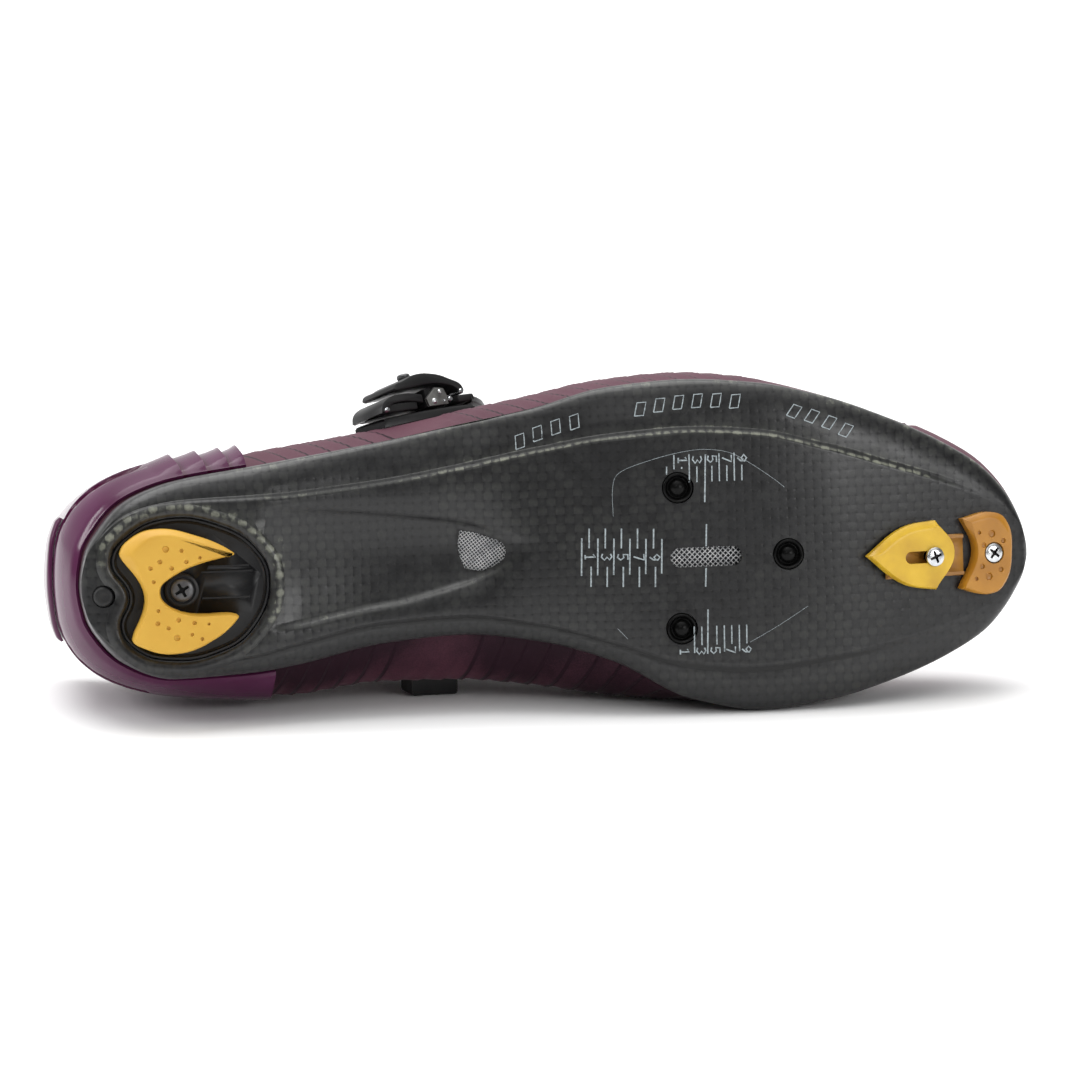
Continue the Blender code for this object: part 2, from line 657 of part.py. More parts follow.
def sole_ring(place):
    """One section of the sole, from the inner rim under the shoe to the outer rim and back."""

    def value(column):
        return read(SOLE_ROWS, column, place)

    along = value("along") * LENGTH
    inner = value("inner") * BALL_WIDTH
    outer = value("outer") * BALL_WIDTH
    low = value("bottom") * SOLE_DEPTH
    step = value("step") * RIDGE_STEP
    ridge, crease = outer * value("ridge"), inner * value("crease")
    scoop_out, scoop_in = -ridge * value("scoop_outer"), crease * value("scoop_inner")
    hollow = low + value("scoop") * SCOOP_DEPTH
    bank = min(SCOOP_BANK, 0.2 * (scoop_in - scoop_out))
    ring = []

    def flange(side, edge, inside, rim):
        """The strip between the raised middle and the edge, from the rim inwards."""
        for row in FLANGE_ROWS:
            across = inside + (edge - inside) * row.out
            yield Vector((along, side * across, low + step * row.step + (rim - low) * row.rise))

    rim_in, rim_out = value("rim_inner") * SOLE_DEPTH, value("rim_outer") * SOLE_DEPTH
    ring += flange(1, inner, crease, rim_in)
    ring.append(Vector((along, scoop_in + bank, low)))
    ring.append(Vector((along, scoop_in - bank, hollow)))
    ring.append(Vector((along, (scoop_in + scoop_out) / 2, hollow)))
    ring.append(Vector((along, scoop_out + bank, hollow)))
    ring.append(Vector((along, scoop_out - bank, low)))
    ring += list(flange(-1, outer, ridge, rim_out))[::-1]
    floor = low + PLATE
    cup = value("cup")
    for side, edge, rim in ((-1, outer, rim_out), (1, inner, rim_in)):
        lip = edge - min(RIM_WIDTH, 0.45 * edge)
        foot = lip - min(0.0012, 0.1 * edge)
        pair = [
            Vector((along, side * lip, rim)),
            Vector((along, side * foot, rim + (floor - rim) * cup)),
        ]
        ring += pair if side < 0 else [pair[1], pair[0]]
    return ring


def make_sole():
    """The stiff sole plate with its rim, raised middle, arch hollow and all its holes."""
    places = spread(0.0, LAST_ROW, 0.5)
    return loft("outsole", [sole_ring(place) for place in places], CARBON)


SOLE = make_sole()
HEEL_FACE = read(SOLE_ROWS, "bottom", 4) * SOLE_DEPTH
HEEL_FRAME = facing_down(HEEL_FACE)
CLEAT_FRAME = facing_down(0.0)


def sole_plane(first, last, along):
    """A frame on the line between two sections of the underside."""
    ends = [
        Vector((read(SOLE_ROWS, "along", place) * LENGTH, read(SOLE_ROWS, "bottom", place) * SOLE_DEPTH))
        for place in (first, last)
    ]
    run = ends[1] - ends[0]
    share = (along - ends[0].x) / run.x
    return facing_down(ends[0].y + run.y * share, math.atan2(run.y, run.x), along)


TOE_FRAME = sole_plane(14.3, 16.0, SLIDER_SCREW_ALONG)


def sideways(frame, at, out=0.0):
    """A frame moved to a place on its own plane."""
    return frame @ Matrix.Translation((at[0], at[1], out))


def blind_hole(name, piece, radius, depth, place):
    """A round hole from a little outside a face down to a depth."""
    cut(piece, rod(name, radius, -depth, CLEAR, place, None, CUTTERS))


def make_upper():
    """The hollow upper: one wall round the foot, closed over the toes, open at throat and sole."""
    around = sorted(set(spread(0.0, LAST_ROW, 0.5) + [CAP_EDGE - CAP_EDGE_WIDTH, CAP_EDGE]))
    columns = [-place for place in around[:0:-1]] + around[:-1]
    points, faces = [], []
    for column in columns:
        cap = TOE_CAP_STEP if abs(column) >= CAP_EDGE else 0.0
        points += [on_skin(column, level, cap) for level in LEVELS]
        foot = inset_edge(column, EDGE_INSET + WALL * 1.25)
        points.append(Vector((foot.x, foot.y, sole_rim(column) + GAP)))
        points += [on_skin(column, level, -WALL) for level in LEVELS[1:]]
    tall = len(LEVELS)
    for spot, column in enumerate(columns):
        here, there = spot * 2 * tall, ((spot + 1) % len(columns)) * 2 * tall
        for face in range(2):
            for level in range(face * tall, (face + 1) * tall - 1):
                faces.append((here + level, there + level, there + level + 1, here + level + 1))
        faces.append((here, there, there + tall, here + tall))
        after = columns[(spot + 1) % len(columns)]
        if abs(column) < THROAT_FRONT or abs(after) < THROAT_FRONT:
            faces.append((here + tall - 1, there + tall - 1, there + 2 * tall - 1, here + 2 * tall - 1))
    return solid_from_faces("upper", points, faces, PLUM)


make_upper()


def make_insole():
    """The foam insole, lying in the sole's shallow cup."""
    rings = []
    for place in spread(3.0, 15.5, 0.5):
        ring = sole_ring(place)
        along = ring[0].x
        feet = (ring[-2].y - INSOLE_MARGIN, ring[-3].y + INSOLE_MARGIN)
        low = max(ring[-2].z, ring[-3].z) + GAP
        high = low + INSOLE_THICKNESS
        crown = (feet[0] * INSOLE_FLAT, feet[1] * INSOLE_FLAT)
        under = [Vector((along, y, low)) for y in feet]
        rings.append(under + [Vector((along, y, high)) for y in (feet[1], crown[1], crown[0], feet[0])])
    return loft("insole", rings, FOAM)


make_insole()


def throat_middle(place, out):
    """The point midway across the throat, at a distance above the line between its edges."""
    left, right = on_skin(place, 1.0, 0.0), on_skin(-place, 1.0, 0.0)
    lift = (skin_out(place, 1.0) + skin_out(-place, 1.0)).normalized()
    return (left + right) / 2 + lift * out


def make_tongue():
    """The padded tongue: it lies under both throat edges and stands up above the instep."""
    top = -(WALL + 2 * GAP)
    low = top - TONGUE_THICKNESS
    stations = []
    for place in spread(12.5, 8.5, 0.5):
        station = [(on_skin(-place, row, top), on_skin(-place, row, low)) for row in LEVELS[-3:]]
        station.append((throat_middle(place, top), throat_middle(place, low)))
        station += [(on_skin(place, row, top), on_skin(place, row, low)) for row in LEVELS[:-4:-1]]
        stations.append(station)
    middle = (throat_middle(8.0, top) + throat_middle(8.0, low)) / 2
    rise = Vector(TONGUE_LEAN).normalized()
    front = Vector((rise.z, 0.0, -rise.x)) * TONGUE_THICKNESS / 2
    for share, half, thick in TONGUE_TOP:
        station = []
        for side in (-1.0, -0.7, -0.4, 0.0, 0.4, 0.7, 1.0):
            spot = middle + rise * share * TONGUE_RISE
            spot += Vector((-TONGUE_BOW * side * side, -side * half * TONGUE_HALF_WIDTH, 0.0))
            station.append((spot + front * thick, spot - front * thick))
        stations.append(station)
    return skin_band("tongue", stations, FOAM)


make_tongue()


def make_counter():
    """The glossy heel cup outside the upper, with four stepped fins at its outer front edge."""
    inner_end = -5.5
    profile = [(column, 0.0) for column in spread(inner_end, FINS[0] - 0.3, 0.5)]
    for fin in FINS:
        profile.append((fin, 1.0))
        profile.append((fin + 0.05, 0.0))
    stations = []
    for column, raised in profile:
        low, high = COUNTER_ROWS[0], COUNTER_ROWS[1] - COUNTER_FALL * abs(column / inner_end) ** 3
        wall = COUNTER_WALL + raised * FIN_STEP
        rows = [low + (high - low) * level / COUNTER_LEVELS for level in range(COUNTER_LEVELS + 1)]
        stations.append([(on_skin(column, row, GAP + wall), on_skin(column, row, GAP)) for row in rows])
    return skin_band("heel_counter", stations, GLOSS)


make_counter()


def make_heel_clip():
    """The raised clip across the back of the heel cup."""
    stations = []
    inside = GAP + COUNTER_WALL + GAP
    for column in spread(*CLIP_COLUMNS, 0.4):
        reach = 1 - CLIP_TAPER * (column / CLIP_COLUMNS[1]) ** 2
        station = []
        for share in (-1.0, -1 / 3, 1 / 3, 1.0):
            row = CLIP_ROW + share * CLIP_HALF_HEIGHT * reach
            station.append((on_skin(column, row, inside + CLIP_WALL), on_skin(column, row, inside)))
        stations.append(station)
    return skin_band("heel_clip", stations, GLOSS)


make_heel_clip()


def make_heel_hardware():
    """The tray in the heel, its rubber pad, screw and the small plug behind it."""
    shape = outline_mesh("recess", TRAY_OUTLINE, -TRAY_DEPTH, CLEAR)
    cut(SOLE, finish(shape, "heel_recess", None, HEEL_FRAME))
    floor = -TRAY_DEPTH + GAP
    shape = outline_mesh("tray", grown(TRAY_OUTLINE, -GAP), floor, 0.0)
    tray = finish(shape, "heel_pad_tray", BLACK, HEEL_FRAME)
    shape = outline_mesh("tray_inside", grown(TRAY_OUTLINE, -GAP - TRAY_WALL), floor + TRAY_FLOOR, CLEAR)
    cut(tray, finish(shape, "tray_inside", None, HEEL_FRAME))
    screw_place = sideways(HEEL_FRAME, HEEL_SCREW_AT, floor + TRAY_FLOOR)
    blind_hole("tray_screw_hole", tray, SCREW_HOLE, THROUGH, screw_place)
    blind_hole("heel_screw_hole", SOLE, SCREW_HOLE, SCREW_REACH + GAP, screw_place)
    shape = outline_mesh("pad", HEEL_PAD_OUTLINE, floor + TRAY_FLOOR + GAP, HEEL_PAD_PROUD)
    soften(finish(shape, "heel_pad", YELLOW, HEEL_FRAME), 0.0011)
    screw("heel_pad_screw", HEEL_HEAD_RADIUS, GAP, SCREW_REACH, screw_place)
    button_place = sideways(HEEL_FRAME, BUTTON_AT, read(SOLE_ROWS, "bottom", 2) * -SOLE_DEPTH + HEEL_FACE)
    blind_hole("button_hole", SOLE, BUTTON_RADIUS + GAP, BUTTON_DEPTH + GAP, button_place)
    plug("heel_button_plug", BUTTON_RADIUS, BUTTON_CROWN, BUTTON_DEPTH, button_place)


def plug(name, radius, crown, depth, place):
    """A round rubber plug with a low crown."""
    profile = (
        (0.0, crown),
        (radius * 0.8, crown),
        (radius, crown * 0.3),
        (radius, -depth),
        (0.0, -depth),
    )
    turned(name, profile, place, RUBBER)


def screw(name, radius, seat, reach, place):
    """A pan head screw whose head starts at a height over the frame's plane."""
    top = seat + HEAD_HEIGHT
    profile = (
        (0.0, top),
        (radius * 0.72, top),
        (radius, top - HEAD_HEIGHT * 0.35),
        (radius, seat),
        (SCREW_RADIUS, seat),
        (SCREW_RADIUS, -reach),
        (0.0, -reach),
    )
    turned(name, profile, place, STEEL)


make_heel_hardware()


def make_forefoot_hardware():
    """Three plugs in the bolt holes, and the two vents with their screens."""
    bolts = (
        ("bolt_plug_outer", CLEAT_CENTRE[0] - BOLT_REACH / 2, CLEAT_CENTRE[1] + BOLT_SPREAD / 2),
        ("bolt_plug_inner", CLEAT_CENTRE[0] - BOLT_REACH / 2, CLEAT_CENTRE[1] - BOLT_SPREAD / 2),
        ("bolt_plug_toe", CLEAT_CENTRE[0] + BOLT_REACH / 2, CLEAT_CENTRE[1]),
    )
    for name, along, across in bolts:
        place = sideways(CLEAT_FRAME, (along, across))
        blind_hole(name + "_hole", SOLE, PLUG_RADIUS + GAP, PLUG_DEPTH + GAP, place)
        plug(name, PLUG_RADIUS, PLUG_CROWN, PLUG_DEPTH, place)
    shape = poly_mesh("slot", stadium(SLOT_LENGTH, SLOT_WIDTH, SLOT_AT), -THROUGH, CLEAR)
    cut(SOLE, finish(shape, "slot_vent", None, CLEAT_FRAME))
    seat = -PLATE + SCREEN_THICKNESS + GAP * 2
    wide = 2 * SCREEN_LEDGE
    shape = poly_mesh("pocket", stadium(SLOT_LENGTH + wide, SLOT_WIDTH + wide, SLOT_AT), -THROUGH, seat)
    cut(SOLE, finish(shape, "slot_pocket", None, CLEAT_FRAME))
    size = wide - 2 * GAP
    shape = stadium(SLOT_LENGTH + size, SLOT_WIDTH + size, SLOT_AT)
    screen = poly_mesh("screen", shape, seat - GAP - SCREEN_THICKNESS, seat - GAP)
    finish(screen, "forefoot_vent_screen", SCREEN, CLEAT_FRAME)
    arch_face = sole_plane(8.0, 8.7, ARCH_VENT_ALONG) @ Matrix.Translation((-ARCH_VENT_ALONG, 0.0, 0.0))
    shape = outline_mesh("arch", ARCH_VENT_OUTLINE, -THROUGH, CLEAR)
    cut(SOLE, finish(shape, "arch_vent", None, arch_face))
    shape = outline_mesh("arch_pocket", grown(ARCH_VENT_OUTLINE, SCREEN_LEDGE), -THROUGH, seat)
    cut(SOLE, finish(shape, "arch_pocket", None, arch_face))
    shape = grown(ARCH_VENT_OUTLINE, SCREEN_LEDGE - GAP)
    screen = outline_mesh("arch_screen", shape, seat - GAP - SCREEN_THICKNESS, seat - GAP)
    finish(screen, "arch_vent_screen", SCREEN, arch_face)


make_forefoot_hardware()


def make_toe_hardware():
    """The vent slider on its rail with its screw, and the toe pad with its screw."""
    rail_low = GAP
    rail_high = rail_low + RAIL_THICKNESS
    half = RAIL_WIDTH / 2
    corners = ((RAIL_SPAN[0], half), (RAIL_SPAN[0], -half), (RAIL_SPAN[1], -half), (RAIL_SPAN[1], half))
    rail = finish(poly_mesh("rail", corners, rail_low, rail_high), "toe_rail", TAN, TOE_FRAME)
    blind_hole("rail_screw_hole", rail, SCREW_HOLE, THROUGH, TOE_FRAME)
    blind_hole("slider_screw_hole", SOLE, SCREW_HOLE, SCREW_REACH + GAP, TOE_FRAME)
    low = rail_high + GAP
    high = low + SLIDER_THICKNESS
    slider = finish(outline_mesh("slider", SLIDER_OUTLINE, low, high), "vent_slider", OCHRE, TOE_FRAME)
    soften(slider, 0.0007)
    slot = stadium(SLIDER_TRAVEL + 2 * SCREW_HOLE, 2 * SCREW_HOLE, (-SLIDER_TRAVEL / 2, 0.0))
    shape = poly_mesh("slider_slot", slot, -THROUGH, CLEAR)
    cut(slider, finish(shape, "slider_slot", None, TOE_FRAME))
    screw("slider_screw", TOE_HEAD_RADIUS, high + GAP, SCREW_REACH, TOE_FRAME)
    shape = outline_mesh("toe_pad", TOE_PAD_OUTLINE, rail_low, TOE_PAD_PROUD)
    pad = finish(shape, "toe_pad", OCHRE, TOE_FRAME)
    soften(pad, 0.0007)
    pad_screw = sideways(TOE_FRAME, TOE_PAD_SCREW_AT)
    blind_hole("toe_pad_hole", pad, SCREW_HOLE, THROUGH, pad_screw)
    seat = TOE_PAD_PROUD - HEAD_HEIGHT
    blind_hole("toe_pad_seat", pad, TOE_HEAD_RADIUS + GAP, -seat, pad_screw)
    blind_hole("toe_pad_screw_hole", SOLE, SCREW_HOLE, SCREW_REACH + GAP, pad_screw)
    screw("toe_pad_screw", TOE_HEAD_RADIUS, seat + GAP, SCREW_REACH, pad_screw)


make_toe_hardware()


def over_strap(name, centres, width, look):
    """A strap over the throat. centres gives its level, column and lift from each end up."""
    stations = []
    for side, ends in ((-1, centres[0]), (1, centres[1])):
        half = []
        for row, column, lift in ends:
            low = 2 * GAP + lift * (BUCKLE_BASE + GAP)
            ahead = skin_slopes(side * column, row)[0].length
            reach = width / 2 / ahead
            station = []
            for share in (-1.0, 0.0, 1.0):
                spot = side * (column + share * reach)
                station.append((on_skin(spot, row, low + STRAP_THICKNESS), on_skin(spot, row, low)))
            half.append(station)
        stations += half if side < 0 else half[::-1]
    left, right = stations[len(centres[0]) - 1], stations[len(centres[0])]
    middle = []
    for one, other in zip(left, right):
        lift = ((one[0] - one[1]) + (other[0] - other[1])).normalized() * STRAP_CROWN
        middle.append(((one[0] + other[0]) / 2 + lift, (one[1] + other[1]) / 2 + lift))
    stations.insert(len(centres[0]), middle)
    return skin_band(name, stations, look)


def make_straps():
    """The instep strap from the inner anchor to the buckle, and the plain forefoot strap."""
    over_strap("instep_strap", INSTEP_STRAP_PATH, INSTEP_STRAP_WIDTH, BLACK)
    side = [(row, FOREFOOT_STRAP_COLUMN, 0) for row in LEVELS[6:]]
    over_strap("forefoot_strap", (side, side), FOREFOOT_STRAP_WIDTH, PLUM)


make_straps()


def skin_patch(name, spots, length, width, high):
    """A black block on the skin whose underside follows it, and the frame at its middle."""
    centre, towards = spots
    out = skin_out(*centre)
    run = (skin(*towards) - skin(*centre)).normalized()
    run = (run - out * run.dot(out)).normalized()
    side = out.cross(run)
    stations = []
    for along in (-0.5, -0.25, 0.0, 0.25, 0.5):
        station = []
        for across in (-0.5, 0.0, 0.5):
            place = walk(*centre, run * along * length + side * across * width)
            station.append((on_skin(*place, high), on_skin(*place, GAP)))
        stations.append(station)
    patch = skin_band(name, stations, BLACK)
    frame = Matrix((run, side, out)).transposed().to_4x4()
    return patch, Matrix.Translation(skin(*centre)) @ frame


def box(name, size, middle, frame, look):
    """A plain block in a frame."""
    shape = bmesh.new()
    bmesh.ops.create_cube(shape, size=1.0)
    bmesh.ops.scale(shape, vec=Vector(size), verts=shape.verts)
    bmesh.ops.translate(shape, vec=Vector(middle), verts=shape.verts)
    mesh = bpy.data.meshes.new(name)
    shape.to_mesh(mesh)
    shape.free()
    return finish(mesh, name, look, frame)


def make_anchor():
    """The strap's anchor block on the inner side."""
    block, frame = skin_patch("strap_anchor", ANCHOR_AT, ANCHOR_LENGTH, ANCHOR_WIDTH, ANCHOR_HEIGHT)
    soften(block, 0.0008)


make_anchor()


def buckle_piece(name, outline, half_width, frame, look):
    """A straight piece through the buckle, from its outline seen from the side."""
    rows = [(row.run * BUCKLE_LENGTH, row.height * BUCKLE_HEIGHT) for row in outline]
    upright = frame @ Matrix.Rotation(math.pi / 2, 4, "X")
    return finish(poly_mesh(name, rows, -half_width, half_width), name, look, upright)


def make_buckle():
    """The ratchet buckle on the outer side: base, side plates, body, ladder, lever and button."""
    base, frame = skin_patch("buckle_base", BUCKLE_AT, BUCKLE_LENGTH, BUCKLE_WIDTH, GAP + BUCKLE_BASE)
    soften(base, 0.0006)
    floor = BUCKLE_BASE + 3 * GAP
    half = BUCKLE_WIDTH / 2
    for name, side in (("buckle_side_plate_low", 1), ("buckle_side_plate_high", -1)):
        place = frame @ Matrix.Translation((0.0, side * (half - SIDE_PLATE), 0.0))
        buckle_piece(name, SIDE_PLATE_OUTLINE, SIDE_PLATE / 2, place, STEEL)
    length, height = BUCKLE_BODY
    width = BUCKLE_WIDTH - 3 * SIDE_PLATE - 2 * GAP
    middle = (BODY_RUN * BUCKLE_LENGTH, 0.0, floor + height / 2)
    box("buckle_body", (length, width, height), middle, frame, BLACK)
    length, height = FRONT_BLOCK
    middle = (FRONT_BLOCK_RUN * BUCKLE_LENGTH, 0.0, floor + height / 2)
    block = box("buckle_front_block", (length, BUCKLE_WIDTH, height), middle, frame, BLACK)
    soften(block, 0.0009)
    soften(buckle_piece("ratchet_ladder", LADDER_OUTLINE, half - LADDER_INSET, frame, BLACK), 0.0004)
    soften(buckle_piece("buckle_lever", LEVER_OUTLINE, half - LEVER_INSET, frame, BLACK), 0.0006)
    place = frame @ Matrix.Translation((LEVER_BUTTON_RUN * BUCKLE_LENGTH, 0.0, 0.0))
    low = BUCKLE_HEIGHT + GAP
    rod("buckle_button", LEVER_BUTTON_RADIUS, low, low + LEVER_BUTTON_HEIGHT, place, STEEL)


make_buckle()


def vertices_in(matrix):
    """All corners of the pieces, in a frame, and the middle of their volume."""
    graph = bpy.context.evaluated_depsgraph_get()
    points, weight, moment = [], 0.0, Vector()
    for piece in SHOE.objects:
        if piece.type != "MESH":
            continue
        seen = piece.evaluated_get(graph)
        shape = bmesh.new()
        shape.from_mesh(seen.to_mesh())
        shape.transform(matrix @ piece.matrix_world)
        points += [corner.co.copy() for corner in shape.verts]
        for face in bmesh.ops.triangulate(shape, faces=shape.faces)["faces"]:
            a, b, c = (corner.co for corner in face.verts)
            volume = a.dot(b.cross(c)) / 6
            weight += volume
            moment += (a + b + c) * volume / 4
        shape.free()
    return points, moment / weight


def lying_matrix():
    """The turn that lays the shoe on the three places that touch the floor on its inner side."""
    bpy.context.view_layer.update()
    points, centre = vertices_in(Matrix())
    hull = bmesh.new()
    for point in points:
        hull.verts.new(point)
    bmesh.ops.convex_hull(hull, input=hull.verts)
    bmesh.ops.recalc_face_normals(hull, faces=hull.faces)
    down = None
    for face in hull.faces:
        out = face.normal
        if out.y < 0.7:
            continue
        corners = [corner.co for corner in face.verts]
        edges = zip(corners, corners[1:] + corners[:1])
        if all((b - a).cross(centre - a).dot(out) >= 0 for a, b in edges):
            down = out.copy()
    hull.free()
    ahead = Vector((1.0, 0.0, 0.0))
    ahead = (ahead - down * ahead.dot(down)).normalized()
    turn = Matrix((ahead, (-down).cross(ahead), -down)).to_4x4()
    turned_points = [turn @ point for point in points]
    low = Vector(min(point[axis] for point in turned_points) for axis in range(3))
    high = Vector(max(point[axis] for point in turned_points) for axis in range(3))
    middle = (low + high) / 2
    return Matrix.Translation((-middle.x, -middle.y, -low.z)) @ turn


def lay_down():
    """Parent every piece and cutter to one empty and lay it on its inner side."""
    pose = bpy.data.objects.new("lying_on_inner_side", None)
    turn = lying_matrix()
    SHOE.objects.link(pose)
    for piece in list(SHOE.objects) + list(CUTTERS.objects):
        if piece is not pose:
            piece.parent = pose
    pose.matrix_world = turn


lay_down()
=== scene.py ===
"""Looks for the right road cycling shoe that lies on its inner side.

Shapes are worked out on the upright shoe, in metres: X runs from heel to toe, +Y is the inner
side, +Z is up and Z = 0 is the flat under the ball. The mesh of each piece is then laid down
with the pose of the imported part.
"""
import math
from collections import namedtuple
from functools import lru_cache

import bmesh
import bpy
import numpy as np
from mathutils import Matrix, Vector
from mathutils.kdtree import KDTree


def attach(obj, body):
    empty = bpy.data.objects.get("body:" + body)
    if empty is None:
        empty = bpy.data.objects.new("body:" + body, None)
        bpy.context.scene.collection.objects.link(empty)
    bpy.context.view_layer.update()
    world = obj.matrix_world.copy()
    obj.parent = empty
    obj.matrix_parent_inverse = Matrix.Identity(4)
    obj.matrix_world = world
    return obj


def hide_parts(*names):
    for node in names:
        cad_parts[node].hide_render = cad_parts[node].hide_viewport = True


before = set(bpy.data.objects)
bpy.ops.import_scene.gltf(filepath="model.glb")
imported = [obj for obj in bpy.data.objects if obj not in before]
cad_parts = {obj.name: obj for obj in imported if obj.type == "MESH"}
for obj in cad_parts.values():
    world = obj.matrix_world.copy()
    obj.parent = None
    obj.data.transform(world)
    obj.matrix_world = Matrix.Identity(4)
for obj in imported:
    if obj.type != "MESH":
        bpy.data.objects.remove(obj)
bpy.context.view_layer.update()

# Camera: a long lens in front of the sole, a little to the heel's side and above the shoe,
# rolled by half a degree as in the photo.
def put(name, data):
    """A new object in the scene."""
    made = bpy.data.objects.new(name, data)
    bpy.context.scene.collection.objects.link(made)
    return made


camera_turn = math.radians(7.9)
camera_rise = math.radians(11.08)
camera_roll = math.radians(-0.6)
camera_reach = 2.5
looked_at = Vector((0.0039, 0.0, 0.0420))

to_camera = Vector(
    (
        -math.sin(camera_turn) * math.cos(camera_rise),
        -math.cos(camera_turn) * math.cos(camera_rise),
        math.sin(camera_rise),
    )
)
camera_data = bpy.data.cameras.new("photo_camera")
camera_data.lens = 278.9
camera_data.sensor_width = 36.0
camera_data.clip_end = 50.0
camera = put("photo_camera", camera_data)
aim = (-to_camera).to_track_quat("-Z", "Y").to_matrix().to_4x4()
camera.matrix_world = (
    Matrix.Translation(looked_at + to_camera * camera_reach) @ aim @ Matrix.Rotation(camera_roll, 4, "Z")
)
bpy.context.scene.camera = camera

# Studio: a white paper floor under a wide soft light from above, small soft boxes towards the
# sole, the heel and the toe, and a room that is white behind the shoe and dim in front of it.
def paint(name, colour, roughness, metallic=0.0):
    """A new material and its parts: the tree and the shader."""
    made = bpy.data.materials.new(name)
    made.use_nodes = True
    tree = made.node_tree
    shader = tree.nodes["Principled BSDF"]
    shader.inputs["Base Color"].default_value = (*colour, 1.0)
    shader.inputs["Roughness"].default_value = roughness
    shader.inputs["Metallic"].default_value = metallic
    return made, tree, shader


floor_mesh = bpy.data.meshes.new("paper_floor")
floor_mesh.from_pydata([(-9, -9, 0), (9, -9, 0), (9, 9, 0), (-9, 9, 0)], [], [(0, 1, 2, 3)])
floor_mesh.materials.append(paint("white_paper", (0.95, 0.95, 0.95), 0.9)[0])
paper_floor = put("paper_floor", floor_mesh)

sun_lamp = bpy.data.lights.new("sky_light", "SUN")
sun_lamp.energy = 1.7
sun_lamp.angle = math.radians(50)
sun = put("sky_light", sun_lamp)
sun.rotation_euler = Vector((-0.10, 0.22, 1.0)).to_track_quat("Z", "Y").to_euler()
for name, place, size, power in (
    ("sole_box", Vector((-0.30, -1.30, 0.80)), (0.6, 0.6), 1.5),
    ("heel_box", Vector((-1.00, 0.10, 0.55)), (0.14, 0.5), 3.0),
    ("toe_box", Vector((0.85, -1.15, 0.48)), (0.7, 0.45), 5.5),
):
    lamp = bpy.data.lights.new(name, "AREA")
    lamp.shape = "RECTANGLE"
    lamp.size, lamp.size_y = size
    lamp.energy = power
    light = put(name, lamp)
    towards = (Vector((0.0, 0.0, 0.04)) - place).to_track_quat("-Z", "Y").to_matrix().to_4x4()
    light.matrix_world = Matrix.Translation(place) @ towards

world = bpy.data.worlds.new("pale_room")
world.use_nodes = True
tree = world.node_tree
facing = tree.nodes.new("ShaderNodeSeparateXYZ")
tree.links.new(tree.nodes.new("ShaderNodeTexCoord").outputs["Generated"], facing.inputs["Vector"])
room = tree.nodes.new("ShaderNodeMapRange")
tree.links.new(facing.outputs["Y"], room.inputs["Value"])
for socket, value in (("From Min", 0.2), ("From Max", 0.85), ("To Min", 0.17), ("To Max", 1.03)):
    room.inputs[socket].default_value = value
ceiling = tree.nodes.new("ShaderNodeMapRange")
tree.links.new(facing.outputs["Z"], ceiling.inputs["Value"])
for socket, value in (("From Min", 0.60), ("From Max", 0.85), ("To Min", 0.0), ("To Max", 1.3)):
    ceiling.inputs[socket].default_value = value
both = tree.nodes.new("ShaderNodeMath")
both.operation = "ADD"
tree.links.new(room.outputs["Result"], both.inputs[0])
tree.links.new(ceiling.outputs["Result"], both.inputs[1])
background = tree.nodes["Background"]
background.inputs["Color"].default_value = (1.0, 1.0, 1.0, 1.0)
tree.links.new(both.outputs[0], background.inputs["Strength"])
bpy.context.scene.world = world
bpy.context.scene.view_settings.view_transform = "Standard"

# Outsole: a stiff plate of woven carbon in clear resin, moulded with a raised middle, a rolled
# edge and a hollow in the arch. Every other piece is fixed to it, so it comes first.
shoe_length = 0.2815
ball_width = 0.0975
sole_depth = 0.020
plate = 0.005
rim_width = 0.0050
ridge_step = 0.0012
scoop_depth = 0.0024
gap = 0.0003
through = 0.014
clear = 0.012
last_row = 19
up_axis = Vector((0.0, 0.0, 1.0))

